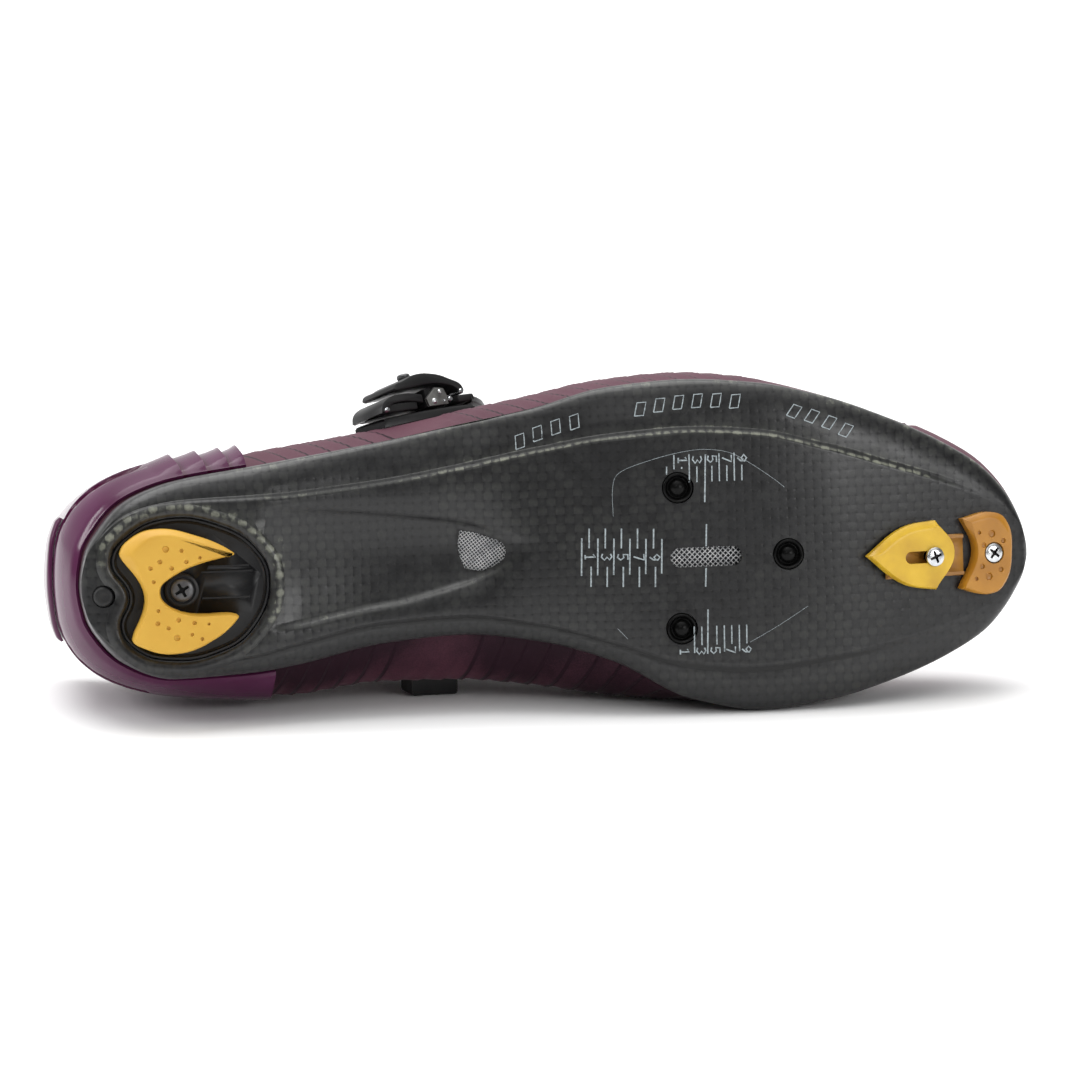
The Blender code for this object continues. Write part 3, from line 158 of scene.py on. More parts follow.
SoleRow = namedtuple(
    "SoleRow",
    "along outer inner bottom rim_outer rim_inner ridge crease step scoop_outer scoop_inner scoop cup",
)
sole_rows = SoleRow(
    *zip(
        (0.000, 0.000, 0.000, 0.620, 0.950, 0.950, 0.850, 0.870, 0.0, 0.60, 0.60, 0.0, 0),
        (0.005, 0.097, 0.092, 0.550, 0.950, 0.950, 0.850, 0.870, 0.0, 0.60, 0.60, 0.0, 0),
        (0.021, 0.177, 0.172, 0.465, 0.935, 0.935, 0.850, 0.870, 0.2, 0.60, 0.60, 0.0, 0),
        (0.045, 0.248, 0.235, 0.415, 0.915, 0.920, 0.840, 0.870, 0.5, 0.65, 0.60, 0.0, 1),
        (0.096, 0.307, 0.284, 0.400, 0.900, 0.925, 0.790, 0.860, 0.8, 0.75, 0.60, 0.0, 1),
        (0.178, 0.343, 0.274, 0.405, 0.930, 1.010, 0.720, 0.790, 1.0, 0.85, 0.65, 0.0, 1),
        (0.229, 0.364, 0.255, 0.490, 0.975, 1.100, 0.690, 0.715, 1.0, 0.83, 0.72, 0.8, 1),
        (0.315, 0.401, 0.205, 0.630, 1.000, 1.125, 0.685, 0.660, 1.0, 0.68, 0.65, 0.9, 1),
        (0.399, 0.446, 0.188, 0.640, 0.925, 1.075, 0.700, 0.667, 1.0, 0.49, 0.26, 1.0, 1),
        (0.476, 0.488, 0.214, 0.430, 0.775, 0.900, 0.727, 0.737, 1.0, 0.26, -0.32, 0.0, 1),
        (0.552, 0.545, 0.280, 0.160, 0.600, 0.650, 0.716, 0.780, 1.0, 0.25, -0.20, 0.0, 1),
        (0.631, 0.562, 0.400, 0.000, 0.475, 0.500, 0.720, 0.718, 1.0, 0.25, -0.10, 0.0, 1),
        (0.706, 0.546, 0.442, 0.000, 0.450, 0.450, 0.714, 0.690, 1.0, 0.25, -0.10, 0.0, 1),
        (0.778, 0.499, 0.421, 0.050, 0.525, 0.525, 0.680, 0.673, 0.9, 0.25, -0.10, 0.0, 1),
        (0.850, 0.423, 0.369, 0.260, 0.700, 0.700, 0.650, 0.678, 0.7, 0.25, -0.10, 0.0, 1),
        (0.910, 0.341, 0.304, 0.492, 0.890, 0.890, 0.640, 0.676, 0.4, 0.25, -0.10, 0.0, 1),
        (0.955, 0.256, 0.228, 0.666, 1.025, 1.025, 0.640, 0.680, 0.1, 0.25, -0.10, 0.0, 1),
        (0.983, 0.159, 0.133, 0.774, 1.100, 1.100, 0.660, 0.700, 0.0, 0.25, -0.10, 0.0, 0),
        (0.996, 0.072, 0.062, 0.850, 1.150, 1.150, 0.700, 0.700, 0.0, 0.25, -0.10, 0.0, 0),
        (1.000, 0.000, 0.000, 0.950, 1.175, 1.175, 0.700, 0.700, 0.0, 0.25, -0.10, 0.0, 0),
    )
)


def node_points(name):
    """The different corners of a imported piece."""
    seen = {tuple(round(part, 6) for part in corner.co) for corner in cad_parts[name].data.vertices}
    return [Vector(spot) for spot in sorted(seen)]


def lying_pose():
    """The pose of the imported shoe, read from its three bolt plugs."""
    cleat_along, cleat_across, spread_across, spread_along = 0.1908, 0.0027, 0.0413, 0.0322
    plug_crown = 0.0005
    outer, inner, toe = (
        sum(node_points("bolt_plug_" + side), Vector()) / len(node_points("bolt_plug_" + side))
        for side in ("outer", "inner", "toe")
    )
    medial = (inner - outer).normalized()
    ahead = (toe - (inner + outer) / 2).normalized()
    upward = ahead.cross(medial).normalized()
    turn = Matrix((ahead, medial, upward)).transposed()
    low = min(spot.dot(upward) for spot in node_points("bolt_plug_toe"))
    at = turn.transposed() @ toe
    plan = Vector((cleat_along + spread_along / 2, -cleat_across))
    assert abs((inner - outer).length - spread_across) < 1e-4
    home = turn @ Vector((at.x - plan.x, at.y - plan.y, low + plug_crown))
    return Matrix.Translation(home) @ turn.to_4x4()


pose = lying_pose()


@lru_cache(maxsize=None)
def slopes_of(values):
    """Slopes at the rows of a table column, so that the curve never overshoots."""
    steps = [b - a for a, b in zip(values, values[1:])]
    slopes = []
    for index in range(len(values)):
        if index == 0:
            end = 1.5 * steps[0] - 0.5 * steps[1]
            slopes.append(end if end * steps[0] > 0 else 0.0)
        elif index == len(steps):
            end = 1.5 * steps[-1] - 0.5 * steps[-2]
            slopes.append(end if end * steps[-1] > 0 else 0.0)
        else:
            before, after = steps[index - 1], steps[index]
            slopes.append(2 * before * after / (before + after) if before * after > 0 else 0.0)
    return slopes


def read(values, place):
    """A table column at a place between rows."""
    slopes = slopes_of(values)
    low = min(int(place), len(values) - 2)
    t = place - low
    return (
        (2 * t**3 - 3 * t**2 + 1) * values[low]
        + (t**3 - 2 * t**2 + t) * slopes[low]
        + (3 * t**2 - 2 * t**3) * values[low + 1]
        + (t**3 - t**2) * slopes[low + 1]
    )


def wrap(column):
    """Columns run round the shoe from the toe on the inner side through the heel to the toe."""
    return column - math.copysign(2 * last_row, column) if abs(column) > last_row else column


def plan_point(along, outer, inner, column):
    """A plan loop at a column."""
    place = abs(column)
    width = read(outer if column >= 0 else inner, place) * ball_width
    return Vector((read(along, place) * shoe_length, -width if column >= 0 else width, 0.0))


def sole_edge(column):
    """The sole's outline in plan."""
    return plan_point(sole_rows.along, sole_rows.outer, sole_rows.inner, column)


def sole_rim(column):
    """Height of the sole's rim."""
    return read(sole_rows.rim_outer if column >= 0 else sole_rows.rim_inner, abs(column)) * sole_depth


def inset_edge(column, inset):
    """The sole's outline moved inwards."""
    ahead = sole_edge(wrap(column + 0.05)) - sole_edge(wrap(column - 0.05))
    return sole_edge(column) - ahead.cross(up_axis).normalized() * inset


def spread(first, last, count):
    """Evenly spaced numbers from first to last."""
    return [first + (last - first) * spot / count for spot in range(count + 1)]


def solid(name, points, faces, sharp=35.0):
    """A welded mesh on the upright shoe with its faces turned outwards."""
    mesh = bpy.data.meshes.new(name)
    mesh.from_pydata([tuple(point) for point in points], [], faces)
    shape = bmesh.new()
    shape.from_mesh(mesh)
    bmesh.ops.remove_doubles(shape, verts=shape.verts, dist=2e-6)
    bmesh.ops.recalc_face_normals(shape, faces=shape.faces)
    shape.to_mesh(mesh)
    shape.free()
    mesh.shade_smooth()
    mesh.set_sharp_from_angle(angle=math.radians(sharp))
    return mesh


def rings_to_faces(rings, count, closed=False, caps=True):
    """Faces between neighbouring rings of points."""
    faces = []
    for ring in range(rings if closed else rings - 1):
        for spot in range(count):
            turn, after = (spot + 1) % count, (ring + 1) % rings
            here, there = ring * count, after * count
            faces.append((here + spot, here + turn, there + turn, there + spot))
    if caps and not closed:
        faces += [tuple(range(count)), tuple(range((rings - 1) * count, rings * count))]
    return faces


def ringed(name, rings, **settings):
    """A mesh over rings of points, one behind another."""
    points = [spot for ring in rings for spot in ring]
    return solid(name, points, rings_to_faces(len(rings), len(rings[0]), **settings))


def settle(name, mesh, look, stands_for=(), body="shoe"):
    """Lay a mesh down with the shoe and hand it over as a finished piece."""
    mesh.transform(pose)
    mesh.name = name
    if look is not None:
        mesh.materials.clear()
        mesh.materials.append(look)
    piece = put(name, mesh)
    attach(piece, body)
    if stands_for:
        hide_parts(*stands_for)
    return piece


def baked(holder, *helpers):
    """The mesh that an object's modifiers or curve make. The object and its helpers are removed."""
    bpy.context.view_layer.update()
    mesh = bpy.data.meshes.new_from_object(holder.evaluated_get(bpy.context.evaluated_depsgraph_get()))
    for used in (holder, *helpers):
        bpy.data.objects.remove(used, do_unlink=True)
    return mesh


def carve(mesh, cutters, how="DIFFERENCE", sharp=None):
    """A mesh after its cutters are taken out of it, or joined to it."""
    blank = put("blank", mesh)
    tools = []
    for cutter in cutters:
        tool = put("tool", cutter)
        tools.append(tool)
        cut = blank.modifiers.new("cut", "BOOLEAN")
        cut.operation = how
        cut.solver = "MANIFOLD"
        cut.object = tool
    made = baked(blank, *tools)
    if sharp:
        made.shade_smooth()
        made.set_sharp_from_angle(angle=math.radians(sharp))
    return made


def facing_down(height, slope=0.0, along=0.0):
    """A frame on the underside: X along the shoe, Y to the outer side, Z out of the sole."""
    tip = Matrix.Rotation(-slope, 4, "Y")
    return Matrix.Translation((along, 0.0, height)) @ tip @ Matrix.Rotation(math.pi, 4, "X")


def sole_plane(first, last, along):
    """A frame on the line between two sections of the underside."""
    a, b = (
        Vector((read(sole_rows.along, place) * shoe_length, read(sole_rows.bottom, place) * sole_depth))
        for place in (first, last)
    )
    run = b - a
    return facing_down(a.y + run.y * (along - a.x) / run.x, math.atan2(run.y, run.x), along)


def smooth_outline(rows, steps=8):
    """A closed outline through (along, across, corner) knots, in millimetres, as points in metres."""
    curve = bpy.data.curves.new("outline", "CURVE")
    curve.dimensions = "2D"
    curve.fill_mode = "NONE"
    curve.resolution_u = steps
    spline = curve.splines.new("BEZIER")
    spline.bezier_points.add(len(rows) - 1)
    spline.use_cyclic_u = True
    for knot, (along, across, corner) in zip(spline.bezier_points, rows):
        knot.co = (along / 1000, across / 1000, 0.0)
        knot.handle_left_type = knot.handle_right_type = "VECTOR" if corner else "AUTO"
    guide = put("outline", curve)
    points = [Vector(corner.co[:2]) for corner in baked(guide).vertices]
    return [
        spot
        for spot, before in zip(points, points[-1:] + points[:-1])
        if (spot - before).length > 1e-6
    ]


def crossing_of(a, b, c, d):
    """Where two segments cross, or None."""
    one, other, between = b - a, d - c, c - a
    area = one.x * other.y - one.y * other.x
    if abs(area) < 1e-16:
        return None
    along = (between.x * other.y - between.y * other.x) / area
    across = (between.x * one.y - between.y * one.x) / area
    return a + one * along if 0 <= along <= 1 and 0 <= across <= 1 else None


def grown(points, distance):
    """An outline moved outwards, or inwards if the distance is negative, with its loops closed up."""
    area = sum(a.x * b.y - b.x * a.y for a, b in zip(points, points[1:] + points[:1]))
    side = -1.0 if area > 0 else 1.0
    count = len(points)
    moved = []
    for index, spot in enumerate(points):
        before = (spot - points[index - 1]).normalized()
        after = (points[(index + 1) % count] - spot).normalized()
        normal = Vector((-before.y - after.y, before.x + after.x)) * side
        reach = distance[index] if isinstance(distance, list) else distance
        moved.append(spot + normal * reach / max(1 + before.dot(after), 0.5))
    if count > 16 and distance:
        for index in range(count):
            for reach in range(min(14, count // 3), 1, -1):
                ends = [moved[(index + step) % count] for step in (0, 1, reach, reach + 1)]
                spot = crossing_of(*ends)
                if spot:
                    for step in range(1, reach + 1):
                        moved[(index + step) % count] = spot.copy()
                    break
    return moved


def slab(name, outline, profile, place, sharp=35.0, widening=None):
    """A solid with an outline: profile holds (inset, height) pairs from its foot over its top."""
    points = []
    for inset, height in profile:
        moves = [-inset * widening(spot) for spot in outline] if widening else -inset
        points += [place @ Vector((spot.x, spot.y, height)) for spot in grown(outline, moves)]
    return solid(name, points, rings_to_faces(len(profile), len(outline)), sharp)


def turned(name, profile, place, steps=36, sharp=35.0):
    """A round solid: profile holds (radius, height) pairs from the middle of one end to the other."""
    points = []
    for radius, height in profile:
        for spot in range(steps):
            angle = 2 * math.pi * spot / steps
            points.append(place @ Vector((radius * math.cos(angle), radius * math.sin(angle), height)))
    return solid(name, points, rings_to_faces(len(profile), steps, caps=False), sharp)


def block(name, size, middle, place):
    """A plain block used as a cutter."""
    corners = [
        place @ (Vector(middle) + Vector((x * size[0], y * size[1], z * size[2])) / 2)
        for x in (-1, 1)
        for y in (-1, 1)
        for z in (-1, 1)
    ]
    faces = [(0, 1, 3, 2), (4, 6, 7, 5), (0, 4, 5, 1), (2, 3, 7, 6), (0, 2, 6, 4), (1, 5, 7, 3)]
    return solid(name, corners, faces)


# Shares of width and height: the strip from its edge inwards, the bead on the raised middle's
# edge, and the bank of the hollow.
strip_curve = (
    (1.0, 0.56), (0.985, 0.44), (0.945, 0.345), (0.88, 0.27), (0.78, 0.19), (0.65, 0.120),
    (0.50, 0.062), (0.38, 0.030), (0.31, 0.016),
)
bead_curve = (
    (2.2, 1.12), (1.75, 1.10), (1.45, 0.88), (1.1, 0.80), (0.6, 0.52), (0.15, 0.22), (-0.3, 0.04),
    (-0.8, 0.0),
)
bank_curve = ((1.0, 0.0), (0.5, 0.16), (0.0, 0.5), (-0.5, 0.84), (-1.0, 1.0))


def sole_section(place):
    """One section of the sole, from the inner rim under the shoe to the outer rim and back."""
    row = SoleRow(*(read(values, place) for values in sole_rows))
    along = row.along * shoe_length
    inner, outer = row.inner * ball_width, row.outer * ball_width
    low = row.bottom * sole_depth
    step = row.step * ridge_step
    ridge, crease = outer * row.ridge, inner * row.crease
    rim_in, rim_out = row.rim_inner * sole_depth, row.rim_outer * sole_depth

    def flange(side, edge, inside, rim):
        """The rolled strip outside the raised middle, from the rim inwards."""
        width = edge - inside
        roll = min(0.0021, 0.3 * edge)
        for turn in (0.0, 0.4, 0.8, 1.2):
            yield Vector(
                (along, side * (edge - roll * (1 - math.sin(turn))), rim - roll * (1 - math.cos(turn)))
            )
        yield Vector((along, side * edge, rim - roll))
        tall = rim - low
        for out, rise in strip_curve:
            yield Vector((along, side * (inside + width * out), low + step + tall * rise))
        bead = min(0.0010, 0.09 * width)
        for out, deep in bead_curve:
            yield Vector((along, side * (inside + bead * out), low + step * deep))

    scoop_out, scoop_in = -ridge * row.scoop_outer, crease * row.scoop_inner
    bank = min(0.0016, 0.25 * (scoop_in - scoop_out))
    hollow = row.scoop * scoop_depth
    ring = list(flange(1, inner, crease, rim_in))
    for share, deep in bank_curve:
        ring.append(Vector((along, scoop_in + bank * share, low + hollow * deep)))
    ring.append(Vector((along, (scoop_in + scoop_out) / 2, low + hollow)))
    for share, deep in bank_curve:
        ring.append(Vector((along, scoop_out + bank * share, low + hollow * (1 - deep))))
    ring += list(flange(-1, outer, ridge, rim_out))[::-1]
    floor = low + plate
    for side, edge, rim in ((-1, outer, rim_out), (1, inner, rim_in)):
        lip = edge - min(rim_width, 0.45 * edge)
        foot = lip - min(0.0012, 0.1 * edge)
        pair = [
            Vector((along, side * lip, rim)), Vector((along, side * foot, rim + (floor - rim) * row.cup)),
        ]
        ring += pair if side < 0 else pair[::-1]
    return ring


tray_outline = smooth_outline(
    (
        (55.0, 1.4, 0), (50.5, 11.0, 0), (40.0, 17.5, 0), (26.0, 19.9, 0), (14.0, 15.5, 0),
        (8.5, 7.8, 0), (13.5, -2.6, 0), (10.8, -12.0, 0), (15.7, -18.9, 0), (26.0, -21.9, 0),
        (38.0, -20.5, 0), (49.0, -14.2, 0),
    )
)
arch_vent_outline = smooth_outline(
    (
        (111.3, 12.6, 1), (118.0, 11.0, 0), (124.8, 6.4, 0), (118.5, 0.8, 0), (112.5, 1.4, 1),
        (110.8, 6.8, 0),
    )
)


def stadium(length, width, at):
    """The outline of a slot with round ends."""
    points = []
    for end, start in ((1, -90), (-1, 90)):
        for step in range(9):
            angle = math.radians(start + step * 22.5)
            along = at[0] + end * (length - width) / 2 + math.cos(angle) * width / 2
            points.append(Vector((along, at[1] + math.sin(angle) * width / 2)))
    return points


slot_outline = stadium(0.0213, 0.0058, (0.1825, 0.0028))
heel_frame = facing_down(read(sole_rows.bottom, 4) * sole_depth)
cleat_frame = facing_down(0.0)
toe_frame = sole_plane(14.3, 16.0, 0.2496)
arch_frame = sole_plane(8.0, 8.7, 0.1180) @ Matrix.Translation((-0.1180, 0.0, 0.0))
tray_depth = 0.0029
heel_screw_at = Matrix.Translation((0.0291, -0.0014, gap + 0.0012 - tray_depth))
button_rise = (read(sole_rows.bottom, 4) - read(sole_rows.bottom, 2)) * sole_depth
button_at = Matrix.Translation((0.0063, -0.0024, button_rise))
toe_pad_screw_at = Matrix.Translation((0.0199, 0.0001, 0.0))
bolt_places = [(0.1747, 0.02335), (0.1747, -0.01795), (0.2069, 0.0027)]
screw_hole = 0.0018

sole_rings = [sole_section(place) for place in spread(0.0, last_row, last_row * 7)]
sole_mesh = ringed("carbon_sole", sole_rings, caps=False)


def drill(radius, depth, place):
    """A cutter for a round hole."""
    return turned("drill", ((0.0, clear), (radius, clear), (radius, -depth), (0.0, -depth)), place, 24)


collar = []
for away, high in (
    (0.0, -0.0004), (0.0006, 0.0002), (0.0014, 0.00045), (0.0024, 0.00050), (0.0034, 0.00030),
    (0.0042, -0.0004),
):
    collar.append([heel_frame @ Vector((spot.x, spot.y, high)) for spot in grown(tray_outline, away)])
tray_collar = ringed("tray_collar", collar, closed=True)
sole_mesh = carve(sole_mesh, [tray_collar], "UNION")
sole_mesh = carve(
    sole_mesh,
    [
        slab("recess", tray_outline, ((0.0, -tray_depth), (0.0, clear)), heel_frame),
        drill(screw_hole, 0.0029, heel_frame @ heel_screw_at),
        drill(0.0033, 0.0024, heel_frame @ button_at),
        *(drill(0.0047, 0.0033, cleat_frame @ Matrix.Translation((*spot, 0.0))) for spot in bolt_places),
        slab("slot", slot_outline, ((0.0, -through), (0.0, clear)), cleat_frame),
        slab("slot_seat", grown(slot_outline, 0.001), ((0.0, -through), (0.0, -0.0036)), cleat_frame),
        slab("arch_vent", arch_vent_outline, ((0.0, -through), (0.0, clear)), arch_frame),
        slab("arch_seat", grown(arch_vent_outline, 0.001), ((0.0, -through), (0.0, -0.0036)), arch_frame),
        drill(screw_hole, 0.0029, toe_frame),
        drill(screw_hole, 0.0029, toe_frame @ toe_pad_screw_at),
    ],
    sharp=35.0,
)


def plan_map(mesh):
    """A map of the plan in metres, so that a weave follows the plate."""
    layer = mesh.uv_layers.new(name="plan")
    for loop in mesh.loops:
        spot = mesh.vertices[loop.vertex_index].co
        layer.data[loop.index].uv = (spot.x, spot.y)


def fade(value, low, high):
    """A smooth step from 0 at low to 1 at high."""
    share = min(max((value - low) / (high - low), 0.0), 1.0)
    return share * share * (3 - 2 * share)


def add(tree, kind, values=(), **settings):
    """A node with its settings. values holds (socket, value or linked output) pairs."""
    made = tree.nodes.new(kind)
    for key, setting in settings.items():
        setattr(made, key, setting)
    for socket, value in values:
        if isinstance(value, bpy.types.NodeSocket):
            tree.links.new(value, made.inputs[socket])
        else:
            made.inputs[socket].default_value = value
    return made


def maths(tree, operation, *values):
    """One calculation in a material."""
    return add(tree, "ShaderNodeMath", list(enumerate(values)), operation=operation).outputs[0]


def ramp(tree, factor, stops):
    """A colour ramp from (place, colour) stops."""
    made = add(tree, "ShaderNodeValToRGB", (("Fac", factor),))
    elements = made.color_ramp.elements
    while len(elements) < len(stops):
        elements.new(0.5)
    for element, (place, colour) in zip(elements, stops):
        element.position = place
        element.color = (*colour, 1.0)
    return made.outputs["Color"]


def bump(tree, shader, height, strength, distance):
    """Small relief from a height."""
    made = add(tree, "ShaderNodeBump", (("Height", height), ("Strength", strength), ("Distance", distance)))
    tree.links.new(made.outputs["Normal"], shader.inputs["Normal"])


def noise(tree, scale, detail, spots):
    """A cloud of noise over a map of a piece."""
    return add(
        tree, "ShaderNodeTexNoise", (("Vector", spots), ("Scale", scale), ("Detail", detail)),
    ).outputs["Fac"]


def painted(tree, name):
    """A value that a shade_map put on a mesh."""
    return add(tree, "ShaderNodeAttribute", attribute_name=name).outputs["Fac"]


def between(tree, value, low, high, first=0.0, last=1.0, **settings):
    """A value moved from one range to another."""
    values = (("Value", value), (1, low), (2, high), (3, first), (4, last))
    return add(tree, "ShaderNodeMapRange", values, **settings).outputs["Result"]


def mottled(name, colour, roughness, texture, stops, relief=(), metallic=0.0, darker=(), dull=(), gloss=()):
    """A finish whose colour follows a texture, between colour stops.

    A texture is the scale and detail of noise, or the scale of round cells. relief holds a bump's
    strength and distance, and its own texture if it has one. darker holds the name and weight of
    a shade_map, dull a range of roughness, and gloss pairs for the shader's other sockets.
    """
    made, tree, shader = paint(name, colour, roughness, metallic)
    spots = add(tree, "ShaderNodeTexCoord").outputs["Object"]

    def pattern(scale, *detail):
        if detail:
            return noise(tree, scale, *detail, spots)
        return add(tree, "ShaderNodeTexVoronoi", (("Vector", spots), ("Scale", scale))).outputs["Distance"]

    cloud = pattern(*texture)
    tone = cloud
    if darker:
        tone = maths(tree, "SUBTRACT", cloud, maths(tree, "MULTIPLY", painted(tree, darker[0]), darker[1]))
    tree.links.new(ramp(tree, tone, stops), shader.inputs["Base Color"])
    if relief:
        bump(tree, shader, pattern(*relief[2:]) if relief[2:] else cloud, *relief[:2])
    if dull:
        tree.links.new(between(tree, cloud, 0.3, 0.7, *dull), shader.inputs["Roughness"])
    for socket, value in gloss:
        shader.inputs[socket].default_value = value
    return made


tows = 385.0
carbon, tree, shader = paint("woven_carbon", (0.018, 0.018, 0.018), 0.34)
plan = add(tree, "ShaderNodeUVMap", uv_map="plan").outputs["UV"]
wander = maths(tree, "MULTIPLY", noise(tree, 60.0, 2.0, plan), 0.5)
cells = add(tree, "ShaderNodeSeparateXYZ", (("Vector", plan),)).outputs
side_x = maths(tree, "MULTIPLY_ADD", cells["X"], tows, wander)
side_y = maths(tree, "MULTIPLY_ADD", cells["Y"], tows, wander)
arch_x = maths(tree, "SINE", maths(tree, "MULTIPLY", maths(tree, "FRACT", side_x), math.pi))
arch_y = maths(tree, "SINE", maths(tree, "MULTIPLY", maths(tree, "FRACT", side_y), math.pi))
tile = maths(tree, "ADD", maths(tree, "FLOOR", side_x), maths(tree, "FLOOR", side_y))
over = maths(tree, "PINGPONG", tile, 1.0)
tow = add(tree, "ShaderNodeMix", ((0, over), (2, arch_x), (3, arch_y)), data_type="FLOAT").outputs[0]
hole = maths(tree, "MULTIPLY", maths(tree, "SUBTRACT", 1.0, arch_x), maths(tree, "SUBTRACT", 1.0, arch_y))
hole = maths(tree, "POWER", hole, 1.6)
seen = between(tree, noise(tree, 24.0, 2.0, plan), 0.40, 0.62)
grime = noise(tree, 180.0, 8.0, plan)
fleck = noise(tree, 1100.0, 4.0, plan)
weave = maths(tree, "ADD", maths(tree, "MULTIPLY", over, 0.13), maths(tree, "MULTIPLY", tow, 0.12))
weave = maths(tree, "MULTIPLY", weave, maths(tree, "MULTIPLY_ADD", seen, 0.7, 0.3))
shade = maths(tree, "MULTIPLY_ADD", grime, 0.40, weave)
shade = maths(tree, "MULTIPLY_ADD", fleck, 0.30, shade)
shade = maths(tree, "SUBTRACT", shade, maths(tree, "MULTIPLY", hole, 0.55))
# Painted shade: a dark line along the foot of the inner strip's step.
shade = maths(tree, "SUBTRACT", shade, maths(tree, "MULTIPLY", painted(tree, "crease_shade"), 0.9))
# Painted highlight: the resin is made paler along the ridge, the rim, the tray's ring and the hollow's
# bank.
shade = maths(tree, "MULTIPLY_ADD", painted(tree, "painted_highlight"), 0.6, shade)
# The last stop is the pale colour of the painted highlight.
resin = (
    (0.05, (0.0015, 0.0015, 0.0015)),
    (0.42, (0.0090, 0.0090, 0.0096)),
    (0.75, (0.027, 0.028, 0.025)),
    (1.0, (0.19, 0.195, 0.155)),
)
tree.links.new(ramp(tree, shade, resin), shader.inputs["Base Color"])
tree.links.new(between(tree, grime, 0.3, 0.7, 0.28, 0.46), shader.inputs["Roughness"])
bump(tree, shader, maths(tree, "SUBTRACT", maths(tree, "MULTIPLY", tow, 0.5), hole), 0.30, 0.00022)
shader.inputs["Specular IOR Level"].default_value = 0.30
shader.inputs["Coat Weight"].default_value = 0.30
shader.inputs["Coat Roughness"].default_value = 0.22


def shade_map(mesh, name, amount):
    """A value from 0 to 1 on each corner point of a mesh, for its material."""
    layer = mesh.attributes.new(name, "FLOAT", "POINT")
    layer.data.foreach_set("value", [amount(corner.co) for corner in mesh.vertices])


@lru_cache(maxsize=None)
def row_at(along):
    """The place between the rows of the sole's table at a distance from the heel."""
    low, high = 0.0, float(last_row)
    for step in range(18):
        middle = (low + high) / 2
        if read(sole_rows.along, middle) * shoe_length < along:
            low = middle
        else:
            high = middle
    return low


def crease_shade(spot):
    """Painted shade: a dark line along the foot of the inner strip, where the moulded step lies in shadow.
    """
    place = row_at(round(spot.x, 5))
    crease = read(sole_rows.inner, place) * read(sole_rows.crease, place) * ball_width
    reach = fade(spot.x, 0.020, 0.040) * (1 - fade(spot.x, 0.215, 0.245))
    return max(1 - abs(spot.y - crease - 0.0012) / 0.0009, 0.0) * reach


def painted_highlight(spot):
    """Painted highlight: how much paler the resin is painted along the ridge, the rim, the tray's ring and
    the hollow's bank, where light catches the slopes.
    """
    place = row_at(round(spot.x, 5))
    row = SoleRow(*(read(values, place) for values in sole_rows))
    edge = row.outer * ball_width
    ridge = edge * row.ridge
    bead = max(min(0.0010, 0.09 * (edge - ridge)), 1e-5)
    over = (-spot.y - ridge) / bead
    share = max(1 - abs(over - 0.3) / 0.95, 0.0) + 0.7 * max(1 - abs(over - 1.85) / 0.55, 0.0)
    reach = fade(spot.x, 0.035, 0.060) * (1 - fade(spot.x, 0.240, 0.268))
    share *= reach * (0.65 + 0.35 * fade(spot.x, 0.09, 0.15))
    share += 0.45 * max(1 - abs(edge + spot.y - 0.0004) / 0.0022, 0.0) * fade(spot.x, 0.02, 0.05)
    if row.scoop > 0.05:
        bank = row.inner * ball_width * row.crease * row.scoop_inner
        share += 0.55 * row.scoop * max(1 - abs(spot.y - bank) / 0.0022, 0.0)
    if spot.x < 0.068:
        away = min((Vector((spot.x, -spot.y)) - knot).length for knot in tray_outline)
        outer = 0.25 + 0.75 * fade(spot.x * 0.5 - spot.y, -0.004, 0.022)
        share += 0.62 * math.exp(-(((away - 0.0030) / 0.0018) ** 2)) * outer
    return min(share, 1.0)


# Painted shade for the foot of the inner crease.
shade_map(sole_mesh, "crease_shade", crease_shade)
# Painted highlight along the ridge, the rim, the tray's ring and the hollow's bank.
shade_map(sole_mesh, "painted_highlight", painted_highlight)
plan_map(sole_mesh)
settle("carbon_sole", sole_mesh, carbon, ["outsole"])

# Heel tray: a black plastic cup let into the heel, with a thin wall, low ribs towards the arch
# and a round seat for the screw that holds it.
black = mottled(
    "black_plastic",
    (0.010, 0.010, 0.011),
    0.36,
    (70.0, 5.0),
    ((0.3, (0.006, 0.006, 0.007)), (0.75, (0.018, 0.018, 0.018))),
    (0.25, 0.00005, 2600.0, 3.0),
    dull=(0.28, 0.5),
    gloss=(("Specular IOR Level", 0.30),),
)

tray_floor = gap - tray_depth
cup_floor = tray_floor + 0.0012
tray = slab(
    "heel_tray",
    grown(tray_outline, -gap),
    (
        (0.0, tray_floor), (0.0, -0.0003), (0.0002, 0.0), (0.0007, 0.0), (0.0009, -0.0003),
        (0.0011, cup_floor + 0.0004), (0.0016, cup_floor), (0.0021, cup_floor),
    ),
    heel_frame,
)
seat_place = heel_frame @ heel_screw_at
ribs = []
for across, start, end in ((0.0052, 0.0370, 0.0490), (0.0036, 0.0350, 0.0500), (-0.0040, 0.0350, 0.0490)):
    middle = ((start + end) / 2, across, cup_floor + 0.0001)
    ribs.append(block("rib", (end - start, 0.0005, 0.0008), middle, heel_frame))
seat_profile = (
    (0.0, 0.0), (0.0050, 0.0), (0.0050, 0.0005), (0.0045, 0.0008), (0.0040, 0.0008),
    (0.0038, 0.0002), (0.0, 0.0002),
)
seat = turned("seat", seat_profile, seat_place)
tray = carve(tray, [*ribs, seat], "UNION")
tray = carve(tray, [drill(screw_hole, 0.004, seat_place)])
settle("heel_tray", tray, black, ["heel_pad_tray"])

# Heel pad: a yellow rubber walking pad bonded in the tray, cast with a wide bevel on its rear
# outer edge and about seventeen small round pits.
amber = mottled(
    "yellow_rubber",
    (0.80, 0.50, 0.10),
    0.55,
    (60.0, 4.0),
    ((0.30, (0.562, 0.305, 0.027)), (0.60, (0.634, 0.365, 0.041)), (0.85, (0.707, 0.436, 0.066))),
    (0.15, 0.00006, 1500.0, 4.0),
    gloss=(("Subsurface Weight", 0.05), ("Subsurface Radius", (0.002, 0.001, 0.0004))),
)

